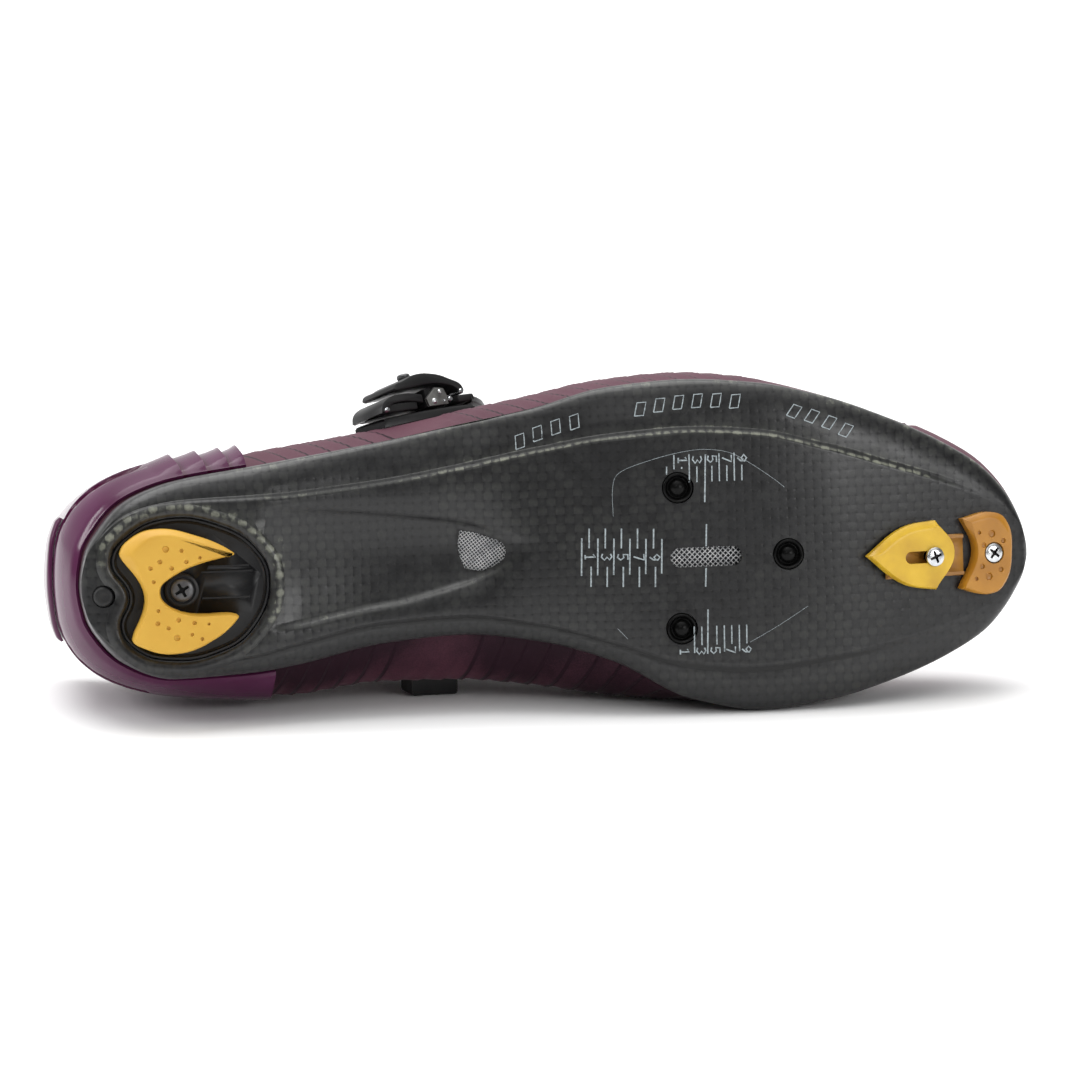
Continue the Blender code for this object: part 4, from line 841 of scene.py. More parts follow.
heel_pad_outline = smooth_outline(
    (
        (11.2, 9.2, 0), (11.1, 10.4, 0), (14.5, 14.4, 0), (21.5, 16.8, 0), (34.0, 14.3, 0),
        (43.2, 9.9, 0), (44.2, 8.8, 0), (43.0, 8.4, 0), (26.2, 3.0, 0), (22.3, -1.3, 0),
        (26.2, -6.4, 0), (43.6, -8.5, 0), (45.0, -9.3, 0), (44.4, -10.4, 0), (38.0, -15.7, 0),
        (26.5, -19.6, 0), (16.5, -17.4, 0), (14.1, -15.6, 0), (14.2, -14.3, 0), (18.0, -2.6, 0),
    )
)
pad_top = 0.0065
pad_profile = (
    (0.0, cup_floor + gap), (0.0, pad_top - 0.0024), (0.00015, pad_top - 0.0019),
    (0.0011, pad_top - 0.0003), (0.0013, pad_top - 0.0001), (0.0016, pad_top), (0.0019, pad_top),
)


def pad_bevel(spot):
    """How wide the pad's bevel is: widest at its rear outer lobe."""
    lobe = math.exp(-((spot.x - 0.0125) ** 2 + (spot.y - 0.0125) ** 2) / 0.0065**2)
    rim = fade(spot.y - 0.30 * max(spot.x - 0.026, 0.0), 0.0036, 0.0050)
    return 0.40 + 1.25 * lobe + 0.80 * rim


pad_mesh = slab("heel_pad", heel_pad_outline, pad_profile, heel_frame, 25.0, pad_bevel)
heel_pits = (
    (24.1, 11.1, 1.0), (28.7, 10.5, 0.6), (22.3, 7.5, 0.7), (30.0, 7.2, 0.65), (34.0, 8.3, 0.5),
    (19.5, 5.7, 0.65), (25.7, 5.5, 0.65), (20.3, 1.7, 0.6), (21.4, -6.7, 0.55), (21.1, -10.4, 0.7),
    (27.2, -9.6, 0.7), (31.8, -10.6, 0.65), (24.2, -11.9, 0.6), (36.0, -11.1, 0.45),
    (31.0, -14.0, 0.55), (26.6, -14.8, 0.95), (33.9, -15.4, 0.55),
)


def dent(along, across, radius, height, place):
    """A cutter for a small round pit, with all sizes in millimetres but the height."""
    at = place @ Matrix.Translation((along / 1000, across / 1000, height))
    r = radius / 1000
    profile = ((0.0, 0.0006), (r * 1.1, 0.0006), (r, -0.0001), (r * 0.8, -0.0006), (0.0, -0.0008))
    return turned("dent", profile, at, 14)


pad_mesh = carve(pad_mesh, [dent(*pit, pad_top, heel_frame) for pit in heel_pits], sharp=25.0)
settle("heel_pad_rubber", pad_mesh, amber, ["heel_pad"])

# Screws: pan heads of plated steel with a cross recess, black in the heel and bright zinc at the
# toe. They go through the tray, the slider and the toe pad into the sole.
# Both steels are painted near black where a screw's recess map is set: painted shade in the cross recess.
steel = mottled(
    "bright_steel",
    (0.62, 0.63, 0.64),
    0.24,
    (260.0, 3.0),
    ((0.0, (0.03, 0.03, 0.03)), (0.3, (0.50, 0.52, 0.54)), (0.7, (0.74, 0.75, 0.75))),
    (0.12, 0.00005),
    1.0,
    ("recess", 1.5),
)
black_steel = mottled(
    "black_steel",
    (0.10, 0.10, 0.105),
    0.38,
    (700.0, 4.0),
    ((0.0, (0.002, 0.002, 0.002)), (0.3, (0.08, 0.08, 0.085)), (0.7, (0.13, 0.13, 0.13))),
    (0.15, 0.00005),
    0.7,
    ("recess", 1.5),
)


def cross_screw(name, radius, low, reach, place, look, node, quarter):
    """A pan head screw with a cross recess, turned by an angle."""
    top = low + 0.0012
    shape = turned(
        name,
        (
            (0.0, top), (radius * 0.55, top - 0.00003), (radius * 0.80, top - 0.00016),
            (radius * 0.95, top - 0.00042), (radius, top - 0.0007), (radius, low), (0.0015, low),
            (0.0015, -reach), (0.0, -reach),
        ),
        place,
        40,
    )
    turn = place @ Matrix.Rotation(quarter, 4, "Z")
    wings = [
        block(
            "wing", (radius * long, radius * wide, 0.0022), (0.0, 0.0, top),
            turn @ Matrix.Rotation(angle, 4, "Z"),
        )
        for long, wide, angle in ((1.30, 0.26, 0.0), (0.26, 1.30, 0.0), (0.50, 0.50, math.pi / 4))
    ]
    shape = carve(shape, wings, sharp=30.0)
    inverse = place.inverted()

    def recess(spot):
        """Whether a point lies in the cross, where the head is painted dark as shade."""
        at = inverse @ spot
        return float(at.z < top - 0.0004 and at.xy.length < radius * 0.72)

    shade_map(shape, "recess", recess)
    settle(name, shape, look, [node])


cross_screw("heel_screw", 0.0034, gap, 0.0026, seat_place, black_steel, "heel_pad_screw", 0.5)
rail_top = gap + 0.0009
slider_top = rail_top + gap + 0.0030
cross_screw("slide_screw", 0.0029, slider_top + gap, 0.0026, toe_frame, steel, "slider_screw", 0.35)
toe_top, toe_seat_deep = 0.0042, 0.0012
toe_seat = toe_frame @ toe_pad_screw_at
cross_screw(
    "toe_screw", 0.0029, toe_top - toe_seat_deep + gap, 0.0026, toe_seat, steel, "toe_pad_screw", 0.9,
)

# Plugs: black rubber. Three fill the cleat's bolt holes, each a ring with a domed middle, and a
# smaller one sits behind the heel tray.
rubber = mottled(
    "black_rubber",
    (0.008, 0.008, 0.008),
    0.30,
    (500.0, 6.0),
    ((0.35, (0.001, 0.001, 0.001)), (0.8, (0.004, 0.004, 0.004))),
    (0.10, 0.00006),
    gloss=(("Specular IOR Level", 0.12),),
)
for side, spot in zip(("outer", "inner", "toe"), bolt_places):
    shape = turned(
        "bolt_plug",
        (
            (0.0, 0.00048), (0.0008, 0.00036), (0.0016, 0.00002), (0.0023, -0.00060),
            (0.0027, -0.00115), (0.0030, -0.00120), (0.0033, -0.00075), (0.0036, -0.0001),
            (0.0039, 0.0001), (0.0042, 0.0), (0.0044, -0.0002), (0.0044, -0.0030), (0.0, -0.0030),
        ),
        cleat_frame @ Matrix.Translation((*spot, 0.0)),
        sharp=50.0,
    )
    settle("bolt_plug_rubber_" + side, shape, rubber, ["bolt_plug_" + side])
shape = turned(
    "button",
    (
        (0.0, 0.0006), (0.0012, 0.0007), (0.0019, 0.0008), (0.0025, 0.0006), (0.0030, 0.00005),
        (0.0030, -0.0021), (0.0, -0.0021),
    ),
    heel_frame @ button_at,
    sharp=50.0,
)
settle("button_rubber", shape, black, ["heel_button_plug"])

# Vent screens: grey wire cloth behind the slot under the ball and the mouth in the arch, made
# of two sets of strands that pass over and under each other.
wire_stops = ((0.3, (0.34, 0.35, 0.36)), (0.7, (0.66, 0.66, 0.66)))
wire = mottled("grey_wire", (0.75, 0.76, 0.76), 0.30, (350.0, 3.0), wire_stops, metallic=0.3)


def set_out(name, places, model, look, size=1.0):
    """Copies of a small model at many places, realised as one mesh on the upright shoe."""
    tree = bpy.data.node_groups.new(name, "GeometryNodeTree")
    face = tree.interface
    face.new_socket("Geometry", in_out="INPUT", socket_type="NodeSocketGeometry")
    for label, kind in (
        ("Model", "NodeSocketObject"), ("Size", "NodeSocketFloat"), ("Finish", "NodeSocketMaterial"),
    ):
        face.new_socket(label, in_out="INPUT", socket_type=kind)
    face.new_socket("Geometry", in_out="OUTPUT", socket_type="NodeSocketGeometry")
    given = tree.nodes.new("NodeGroupInput")
    result = tree.nodes.new("NodeGroupOutput")
    turn = add(tree, "GeometryNodeInputNamedAttribute", (("Name", "turn"),), data_type="FLOAT_VECTOR")
    info = add(tree, "GeometryNodeObjectInfo", (("Object", given.outputs["Model"]),))
    rotation = add(tree, "FunctionNodeEulerToRotation", (("Euler", turn.outputs["Attribute"]),))
    copies = add(
        tree,
        "GeometryNodeInstanceOnPoints",
        (
            ("Points", given.outputs["Geometry"]), ("Instance", info.outputs["Geometry"]),
            ("Rotation", rotation.outputs["Rotation"]), ("Scale", given.outputs["Size"]),
        ),
    )
    real = add(tree, "GeometryNodeRealizeInstances", (("Geometry", copies.outputs["Instances"]),))
    dressed = add(
        tree, "GeometryNodeSetMaterial", (
            ("Geometry", real.outputs["Geometry"]), ("Material", given.outputs["Finish"]),
        )
    )
    tree.links.new(dressed.outputs["Geometry"], result.inputs["Geometry"])
    source = put(name + "_model", model)
    points = bpy.data.meshes.new(name)
    points.from_pydata([tuple(place.translation) for place in places], [], [])
    turns = points.attributes.new("turn", "FLOAT_VECTOR", "POINT")
    for item, place in zip(turns.data, places):
        item.vector = place.to_euler()
    holder = put(name, points)
    made = holder.modifiers.new("set_out", "NODES")
    made.node_group = tree
    values = {"Model": source, "Size": size, "Finish": look}
    for item in face.items_tree:
        if item.in_out == "INPUT" and item.name in values:
            made[item.identifier] = values[item.name]
    return baked(holder, source)


def inside(spot, outline):
    """Whether a point lies within an outline."""
    hit = False
    for a, b in zip(outline, outline[1:] + outline[:1]):
        if (a.y > spot.y) != (b.y > spot.y) and spot.x < (b.x - a.x) * (spot.y - a.y) / (b.y - a.y) + a.x:
            hit = not hit
    return hit


def crossing(pitch, radius):
    """One crossing of the wire cloth: a strand bowed over another."""
    points, faces = [], []
    for turn, lift in ((Matrix.Identity(3), 1.0), (Matrix.Rotation(math.pi / 2, 3, "Z"), -1.0)):
        for share in (-1.0, -0.5, 0.0, 0.5, 1.0):
            middle = Vector((share * pitch / 2, 0.0, lift * radius * math.cos(share * math.pi / 2) * 1.1))
            base = len(points)
            for angle in (45, 135, 225, 315):
                side = Vector((0.0, math.cos(math.radians(angle)), math.sin(math.radians(angle)))) * radius
                points.append(turn @ (middle + side))
            if share > -1.0:
                faces += [
                    (base - 4 + k, base - 4 + (k + 1) % 4, base + (k + 1) % 4, base + k)
                    for k in range(4)
                ]
    return solid("crossing", points, faces, 60.0)


def wire_cloth(name, opening, place, height, pitch, radius, lay, node):
    """Wire cloth behind an opening, laid at an angle."""
    outline = grown(opening, 0.0006)
    turn = Matrix.Rotation(lay, 2)
    reach = range(-24, 25)
    centre = sum(outline, Vector((0.0, 0.0))) / len(outline)
    places = []
    for i in reach:
        for j in reach:
            spot = centre + turn @ Vector((i * pitch, j * pitch))
            if inside(spot, outline):
                quarter = Matrix.Rotation(lay + (i + j) % 2 * math.pi / 2, 4, "Z")
                places.append(place @ Matrix.Translation((spot.x, spot.y, height)) @ quarter)
    mesh = set_out(name, places, crossing(pitch, radius), wire)
    mesh.shade_smooth()
    settle(name, mesh, None, [node])


for label, opening, place, sizes, node in (
    ("slot", slot_outline, cleat_frame, (-0.0027, 0.00108, 0.00018, 0.79), "forefoot_vent_screen"),
    ("arch", arch_vent_outline, arch_frame, (-0.0032, 0.00082, 0.00014, 0.62), "arch_vent_screen"),
):
    wire_cloth(label + "_wire_cloth", opening, place, *sizes, node)

# Toe hardware: an ochre plastic slider that opens the toe vent, on a tan rail that is let into
# the sole, and a moulded ochre toe pad. Both are held by bright screws.
for name, dark, middle, light in (
    ("gold_plastic", (0.493, 0.283, 0.011), (0.627, 0.389, 0.017), (0.739, 0.496, 0.036)),
    ("ochre_plastic", (0.333, 0.138, 0.009), (0.416, 0.182, 0.014), (0.512, 0.242, 0.025)),
):
    stops = ((0.30, dark), (0.60, middle), (0.85, light))
    ochre = mottled(name, middle, 0.36, (110.0, 5.0), stops, (0.15, 0.00006, 1700.0, 3.0))
tan_stops = ((0.3, (0.250, 0.109, 0.018)), (0.75, (0.400, 0.198, 0.036)))
tan = mottled("tan_plastic", (0.44, 0.25, 0.09), 0.42, (160.0, 5.0), tan_stops, (0.1, 0.0001))

rail_outline = [
    Vector(spot)
    for spot in ((-0.0140, 0.0061), (-0.0140, -0.0061), (0.0112, -0.0061), (0.0112, 0.0061))
]
rail = slab("rail", rail_outline, ((0.0, gap), (0.0, rail_top - 0.0002), (0.0002, rail_top)), toe_frame)
lips = [
    block("lip", (0.0250, 0.0009, 0.0009), (-0.0014, side * 0.0054, rail_top + 0.0001), toe_frame)
    for side in (1, -1)
]
rail = carve(rail, lips, "UNION")
rail = carve(rail, [drill(screw_hole, 0.004, toe_frame)])
settle("vent_rail", rail, tan, ["toe_rail"])

slider_outline = smooth_outline(
    ((-21.1, 1.1, 1), (-9.0, 9.0, 0), (1.2, 10.6, 1), (7.2, 1.4, 0), (0.8, -9.8, 1), (-9.0, -7.8, 0))
)
slider_low = rail_top + gap
slider = slab(
    "slider",
    slider_outline,
    (
        (0.0, slider_low), (0.0, slider_top - 0.0012), (0.0002, slider_top - 0.0009),
        (0.0011, slider_top - 0.0001), (0.0014, slider_top), (0.0017, slider_top),
    ),
    toe_frame,
    22.0,
    lambda spot: 0.35 + 1.25 * fade(spot.y, 0.0005, 0.0040) * (1 - fade(spot.x, 0.0008, 0.0024)),
)
slot_run = 0.0075
slider_slot = stadium(slot_run + 2 * screw_hole, 2 * screw_hole, (-slot_run / 2, 0.0))
slider = carve(slider, [slab("slot", slider_slot, ((0.0, -through), (0.0, clear)), toe_frame)], sharp=22.0)
settle(
    "slider_plate", slider, bpy.data.materials["gold_plastic"], ["vent_slider"], "slider",
)

toe_pad_outline = smooth_outline(
    (
        (10.4, 10.6, 1), (20.8, 12.0, 0), (24.6, 9.7, 0), (26.4, 0.5, 0), (23.2, -9.9, 0),
        (19.0, -12.0, 0), (9.4, -10.0, 1), (14.2, 1.2, 0),
    )
)
toe_pad = slab(
    "toe_pad",
    toe_pad_outline,
    (
        (0.0, gap), (0.0, toe_top - 0.0013), (0.0003, toe_top - 0.0009), (0.0010, toe_top - 0.00015),
        (0.0013, toe_top), (0.0016, toe_top),
    ),
    toe_frame,
    22.0,
    lambda spot: 0.45 + 0.9 * fade(spot.y, 0.004, 0.010) + 0.3 * fade(spot.x, 0.020, 0.025),
)
toe_pits = (
    (19.3, 5.8, 1.15), (18.0, -6.8, 1.15), (15.2, 6.3, 0.6), (23.0, 3.6, 0.8), (16.6, 2.5, 0.8),
    (15.9, -3.7, 0.8), (22.0, -4.9, 0.8), (13.9, -7.3, 0.6),
)
toe_seat_at = toe_top - toe_seat_deep
seat_cut = ((0.0, clear), (0.0032, clear), (0.0032, toe_seat_at), (0.0, toe_seat_at))
toe_pad = carve(
    toe_pad,
    [
        drill(screw_hole, 0.004, toe_seat),
        turned("seat", seat_cut, toe_seat, 40),
        *(dent(*pit, toe_top, toe_frame) for pit in toe_pits),
    ],
    sharp=22.0,
)
settle("toe_pad_moulding", toe_pad, ochre, ["toe_pad"])

# Printed scales: pale ink on the resin for setting a cleat, with plain odd numbers, short and long
# ticks and a thin outline of the cleat. Slanted outlined bars decorate the outer strip.
ink_stops = ((0.30, (0.14, 0.16, 0.17)), (0.55, (0.34, 0.39, 0.41)))
ink = mottled("pale_ink", (0.30, 0.34, 0.36), 0.55, (1500.0, 4.0), ink_stops)


@lru_cache(maxsize=None)
def underside(along):
    """The underside's plan distances and heights at a distance from the heel."""
    ring = sole_section(row_at(along))[:-4][::-1]
    return [spot.y for spot in ring], [spot.z for spot in ring]


def ground(along, across):
    """A point of the sole's underside from its plan in millimetres, outer side positive."""
    x, y = round(along / 1000, 4), -across / 1000
    return Vector((along / 1000, y, float(np.interp(y, *underside(x)))))


def ink_lines(name, strokes):
    """Thin printed lines on the underside. Each stroke holds its width and its plan points."""
    points, faces = [], []
    for width, line in strokes:
        dense = [line[0]]
        for a, b in zip(line, line[1:]):
            length = math.hypot(b[0] - a[0], b[1] - a[1])
            pieces = max(int(length / 1.5), 1)
            dense += [
                (a[0] + (b[0] - a[0]) * k / pieces, a[1] + (b[1] - a[1]) * k / pieces)
                for k in range(1, pieces + 1)
            ]
        base = len(points)
        for index, (along, across) in enumerate(dense):
            before, after = dense[max(index - 1, 0)], dense[min(index + 1, len(dense) - 1)]
            run = Vector((after[0] - before[0], after[1] - before[1])).normalized() * width / 2
            for side, sink in ((1, -0.00004), (-1, -0.00004), (-1, 0.00005), (1, 0.00005)):
                points.append(ground(along - run.y * side, across + run.x * side) + up_axis * sink)
        rings = len(dense)
        faces += [tuple(spot + base for spot in face) for face in rings_to_faces(rings, 4)]
    return solid(name, points, faces, 60.0)


def smooth_line(line, pieces=4):
    """Points on a smooth line through a few places."""
    ends = [line[0], *line, line[-1]]
    dense = []
    for a, b, c, d in zip(ends, ends[1:], ends[2:], ends[3:]):
        for step in range(pieces):
            t = step / pieces
            spot = []
            for p, q, r, s in zip(a, b, c, d):
                bend, twist = 2 * p - 5 * q + 4 * r - s, 3 * q - p - 3 * r + s
                spot.append(0.5 * (2 * q + (r - p) * t + bend * t * t + twist * t**3))
            dense.append(spot)
    return dense + [line[-1]]


digit_lines = {
    1: (((0.15, 0.75), (0.55, 1.0), (0.55, 0.0)), ((0.2, 0.0), (0.9, 0.0))),
    3: (((0.05, 0.88), (0.5, 1.0), (0.95, 0.78), (0.55, 0.54), (0.98, 0.28), (0.5, 0.0), (0.02, 0.12)),),
    5: (((0.92, 1.0), (0.15, 1.0), (0.10, 0.55), (0.60, 0.60), (0.95, 0.32), (0.55, 0.0), (0.05, 0.10)),),
    7: (((0.05, 1.0), (0.95, 1.0), (0.40, 0.0)),),
    9: (((0.95, 0.65), (0.5, 0.42), (0.08, 0.70), (0.5, 1.0), (0.93, 0.78), (0.88, 0.35), (0.45, 0.0)),),
}


thin = 0.42
strokes = []


def digit(number, along, across, tall, wide):
    """A plain number whose top points to the toe, centred at a place."""
    return [
        (thin, [(along + (up - 0.5) * tall, across - (right - 0.5) * wide) for right, up in line])
        for line in digit_lines[number]
    ]


for step in range(6):
    along = 146.6 + 4.6 * step
    strokes.append((thin, [(along, 9.4 - 0.18 * step), (along - 0.4, -1.6)]))
for step in range(5):
    along = 148.8 + 4.62 * step
    strokes.append((thin, [(along, 12.2 - 0.15 * step), (along - 0.2, 6.4 - 0.15 * step)]))
    strokes.append((thin, [(along + 0.2, 1.0 - 0.15 * step), (along, -4.9 - 0.15 * step)]))
    strokes += digit(2 * step + 1, along + 0.1, 3.9 - 0.17 * step, 3.0, 1.9)
for line in (
    [(182.8, 12.4), (182.5, 5.9)],
    [(182.3, -0.4), (182.0, -5.9)],
    [(183.1, 32.8), (182.5, 18.8)],
    [(182.5, -12.6), (182.0, -25.6)],
):
    strokes.append((thin, line))
for step in range(11):
    along = 171.6 + 2.22 * step
    if step == 0:
        strokes.append((0.38, [(along, 29.6), (along - 0.1, 27.3)]))
    elif step != 5:
        strokes.append(
            (0.38, [(along, 33.0 if step % 2 else 29.4), (along - 0.1, 28.8 if step < 3 else 24.8)])
        )
    if step > 2 and step != 5:
        strokes.append((0.38, [(along, -17.5), (along - 0.1, -25.2 if step % 2 else -23.0)]))
for number, along, lower in (
    (1, 176.4, 175.3), (3, 180.6, 180.1), (5, 185.0, 184.3), (7, 189.4, 188.9), (9, 193.9, 193.6),
):
    strokes += digit(number, along, 31.4, 2.7, 2.2)
    strokes += digit(number, lower, -24.7, 2.7, 2.0)
for line in (
    (
        (155.8, 15.5), (155.9, 24.2), (158.3, 28.5), (167.8, 31.9), (177.1, 33.9), (184.5, 34.2),
        (191.9, 32.4), (201.4, 26.2), (206.3, 22.3),
    ),
    ((212.3, -12.8), (203.6, -18.0), (194.7, -22.7)),
    ((156.1, -17.4), (158.9, -20.5)),
):
    strokes.append((0.10, [tuple(spot) for spot in smooth_line(line)]))
bar = ((-1.3, -1.9), (1.3, -1.9), (1.3, 1.9), (-1.3, 1.9), (-1.3, -1.9))
for first, last, bow, count in (
    ((127.5, 37.0), (148.5, 44.0), 0.8, 4),
    ((162.0, 46.0), (195.5, 47.6), 1.6, 6),
    ((207.5, 45.0), (228.0, 36.8), 0.9, 4),
):
    run = Vector(last) - Vector(first)
    ahead, side = run.normalized(), Vector((-run.y, run.x)).normalized()
    for step in range(count):
        share = (step + 0.5) / count
        middle = Vector(first) + run * share + side * bow * 4 * share * (1 - share)
        corners = [middle + ahead * (along + rise * 0.30) + side * rise for along, rise in bar]
        strokes.append((0.30, [tuple(corner) for corner in corners]))
settle("printed_marks", ink_lines("marks", strokes), ink)

# Upper: plum microfibre, lasted over the foot and glued into the sole's edge. Welded shingles
# run up its sides, a cap covers the toes, and soft creases cross it where the foot bends.
instep_height = 0.103
edge_inset = 0.0010
wall = 0.0024
waist_share = 0.30
throat_front = 12
cap_edge = 14.55
cap_step = 0.0008
rib_pitch = 0.0064
rib_lean = 0.55
rib_height = 0.0006

UpperRow = namedtuple(
    "UpperRow", "waist_along waist_outer waist_inner waist_up top_along top_outer top_inner top_up full",
)
upper_rows = UpperRow(
    *zip(
        (-0.015, 0.000, 0.000, 0.388, -0.012, 0.000, 0.000, 0.903, 1.40),
        (-0.012, 0.108, 0.104, 0.388, -0.008, 0.092, 0.092, 0.898, 1.40),
        (-0.001, 0.196, 0.188, 0.379, 0.007, 0.169, 0.169, 0.883, 1.40),
        (0.027, 0.280, 0.268, 0.359, 0.039, 0.226, 0.226, 0.835, 1.40),
        (0.084, 0.342, 0.326, 0.340, 0.092, 0.267, 0.262, 0.765, 1.45),
        (0.172, 0.370, 0.350, 0.330, 0.167, 0.293, 0.284, 0.728, 1.50),
        (0.227, 0.390, 0.355, 0.340, 0.222, 0.297, 0.287, 0.750, 1.50),
        (0.314, 0.426, 0.327, 0.350, 0.295, 0.256, 0.251, 0.850, 1.45),
        (0.399, 0.472, 0.330, 0.340, 0.364, 0.164, 0.164, 0.990, 1.35),
        (0.476, 0.513, 0.353, 0.311, 0.445, 0.087, 0.087, 0.930, 1.20),
        (0.552, 0.557, 0.389, 0.272, 0.526, 0.067, 0.062, 0.820, 1.10),
        (0.631, 0.574, 0.411, 0.233, 0.607, 0.051, 0.046, 0.718, 1.05),
        (0.706, 0.554, 0.417, 0.209, 0.675, 0.000, 0.000, 0.650, 1.00),
        (0.778, 0.502, 0.399, 0.214, 0.750, 0.000, 0.000, 0.587, 0.97),
        (0.850, 0.427, 0.356, 0.233, 0.817, 0.000, 0.000, 0.534, 0.95),
        (0.910, 0.351, 0.303, 0.257, 0.870, 0.000, 0.000, 0.490, 0.92),
        (0.955, 0.269, 0.238, 0.277, 0.909, 0.000, 0.000, 0.456, 0.90),
        (0.984, 0.170, 0.147, 0.291, 0.938, 0.000, 0.000, 0.427, 0.90),
        (0.998, 0.082, 0.072, 0.301, 0.956, 0.000, 0.000, 0.403, 0.90),
        (1.002, 0.000, 0.000, 0.306, 0.968, 0.000, 0.000, 0.383, 0.90),
    )
)


@lru_cache(maxsize=None)
def side_of(column):
    """The upper at a column: foot, waist and top in plan, their heights, and how full it is."""
    rows, place = upper_rows, abs(column)
    waist = plan_point(rows.waist_along, rows.waist_outer, rows.waist_inner, column)
    top = plan_point(rows.top_along, rows.top_outer, rows.top_inner, column)
    heights = (
        sole_rim(column) + gap, read(rows.waist_up, place) * instep_height,
        read(rows.top_up, place) * instep_height,
    )
    return inset_edge(column, edge_inset), waist, top, heights, read(rows.full, place)


def skin(column, row):
    """A point of the upper's outer face. row runs from 0 at the sole to 1 at the top edge."""
    base, waist, top, (base_up, waist_up, top_up), full = side_of(column)
    if row <= waist_share:
        share = row / waist_share
        return base.lerp(waist, math.sin(share * math.pi / 2)) + up_axis * (
            base_up + (waist_up - base_up) * share
        )
    angle = min((row - waist_share) / (1 - waist_share), 1.0) * math.pi / 2
    flat = waist.lerp(top, 1 - max(math.cos(angle), 0.0) ** full)
    return flat + up_axis * (waist_up + (top_up - waist_up) * math.sin(angle) ** full)


def skin_slopes(column, row):
    """How the skin runs along columns and up rows."""
    low, high = max(row - 0.03, 0.0), min(row + 0.03, 1.0)
    ahead = skin(wrap(column + 0.06), row) - skin(wrap(column - 0.06), row)
    return ahead / 0.12, (skin(column, high) - skin(column, low)) / (high - low)


def skin_out(column, row):
    """The skin's outward normal."""
    ahead, up = skin_slopes(column, row)
    out = ahead.cross(up).normalized()
    if row > 0.999 and abs(column) >= throat_front:
        ahead, up = skin_slopes(-column, row)
        out += ahead.cross(up).normalized()
        out.y = 0.0
    return out.normalized()


def on_skin(column, row, out):
    """A point at a distance outside the skin."""
    return skin(column, row) + skin_out(column, row) * out


def rib_place(column, row):
    """Where a point lies along the shingles, in shingles, and its height over the sole's rim."""
    spot = skin(column, row)
    rise = spot.z - side_of(column)[3][0]
    return (spot.x + rib_lean * rise) / rib_pitch, rise


def rib_share(column, row):
    """How strongly the shingles show at a place."""
    spot = skin(column, row)
    share = fade(spot.x, 0.050, 0.056) * (1 - fade(spot.x, 0.198, 0.206)) * (1 - fade(row, 0.74, 0.86))
    if column > 0:
        share *= 1 - fade(spot.x, 0.090, 0.093) * (1 - fade(spot.x, 0.109, 0.112))
    return share


creases = (
    (0.196, -0.040, 0.206, 0.0, 0.0011, 0.0030), (0.206, 0.0, 0.199, 0.034, 0.0010, 0.0030),
    (0.214, -0.034, 0.221, 0.004, 0.0009, 0.0026), (0.221, 0.004, 0.213, 0.030, 0.0008, 0.0026),
    (0.183, 0.044, 0.190, 0.014, 0.0008, 0.0032), (0.075, -0.034, 0.092, -0.030, 0.0008, 0.0036),
    (0.078, 0.034, 0.094, 0.029, 0.0008, 0.0036),
)


def crease_depth(spot):
    """How deep the creases lie at a point of the upper, from its plan."""
    depth = 0.0
    for x0, y0, x1, y1, deep, wide in creases:
        run = Vector((x1 - x0, y1 - y0))
        offset = Vector((spot.x - x0, spot.y - y0))
        share = min(max(offset.dot(run) / run.length_squared, 0.0), 1.0)
        away = (offset - run * share).length / wide
        if away < 3.0:
            depth += deep * (math.exp(-away * away) - 0.35 * math.exp(-((away - 1.6) ** 2)))
    return 0.0010 * math.tanh(depth / 0.0010)


def upper_relief(column, row):
    """How far the upper's face stands off its smooth skin."""
    place, rise = rib_place(column, row)
    saw = place % 1.0
    shingle = saw if saw < 0.86 else (1.0 - saw) / 0.14 * 0.86
    out = rib_height * shingle * rib_share(column, row)
    out += cap_step * fade(abs(column), cap_edge - 0.05, cap_edge + 0.05)
    if row > 0.34:
        out -= crease_depth(skin(column, row)) * fade(row, 0.34, 0.45)
    tuck = fade(row, 0.0, 0.035)
    return out * tuck * (1 - fade(row, 0.97, 1.0) * 0.6)


def closed_wall(name, columns, rows, outside, inside, rolled, sharp=50.0):
    """A hollow shell round the foot between two faces given by heights over the skin."""
    points, faces = [], []
    roll = 5
    tall = 2 * len(rows) + roll
    for column in columns:
        outer = [on_skin(column, row, outside(column, row)) for row in rows]
        inner = [on_skin(column, row, inside(column, row)) for row in rows]
        middle, reach = (outer[-1] + inner[-1]) / 2, (outer[-1] - inner[-1]) / 2
        rise = skin_slopes(column, 1.0)[1].normalized() * reach.length * rolled
        over = [math.pi * (step + 1) / (roll + 1) for step in range(roll)]
        points += outer
        points += [middle + reach * math.cos(angle) + rise * math.sin(angle) for angle in over]
        points += inner[::-1]
    count = len(rows)
    for spot, column in enumerate(columns):
        after = (spot + 1) % len(columns)
        here, there = spot * tall, after * tall
        open_top = abs(column) < throat_front or abs(columns[after]) < throat_front
        for step in range(tall):
            if count - 1 <= step < count + roll and not open_top:
                continue
            up = (step + 1) % tall
            faces.append((here + step, there + step, there + up, here + up))
    mesh = solid(name, points, faces, sharp)
    shape = bmesh.new()
    shape.from_mesh(mesh)
    bmesh.ops.delete(shape, geom=[spot for spot in shape.verts if not spot.link_faces], context="VERTS")
    shape.to_mesh(mesh)
    shape.free()
    return mesh


def all_round(count):
    """Columns round the whole shoe, with a count of them between two rows."""
    half = spread(0.0, last_row, last_row * count)
    return [-place for place in half[:0:-1]] + half[:-1]


face_rows = [0.0, 0.012, 0.024, 0.036] + [0.036 + 0.964 * step / 58 for step in range(1, 59)]


def upper_inside(column, row):
    """Height of the upper's inner face over the skin."""
    return upper_relief(column, row) - 0.0011


upper_mesh = closed_wall("upper", all_round(18), face_rows, upper_relief, upper_inside, 0.8, 42.0)


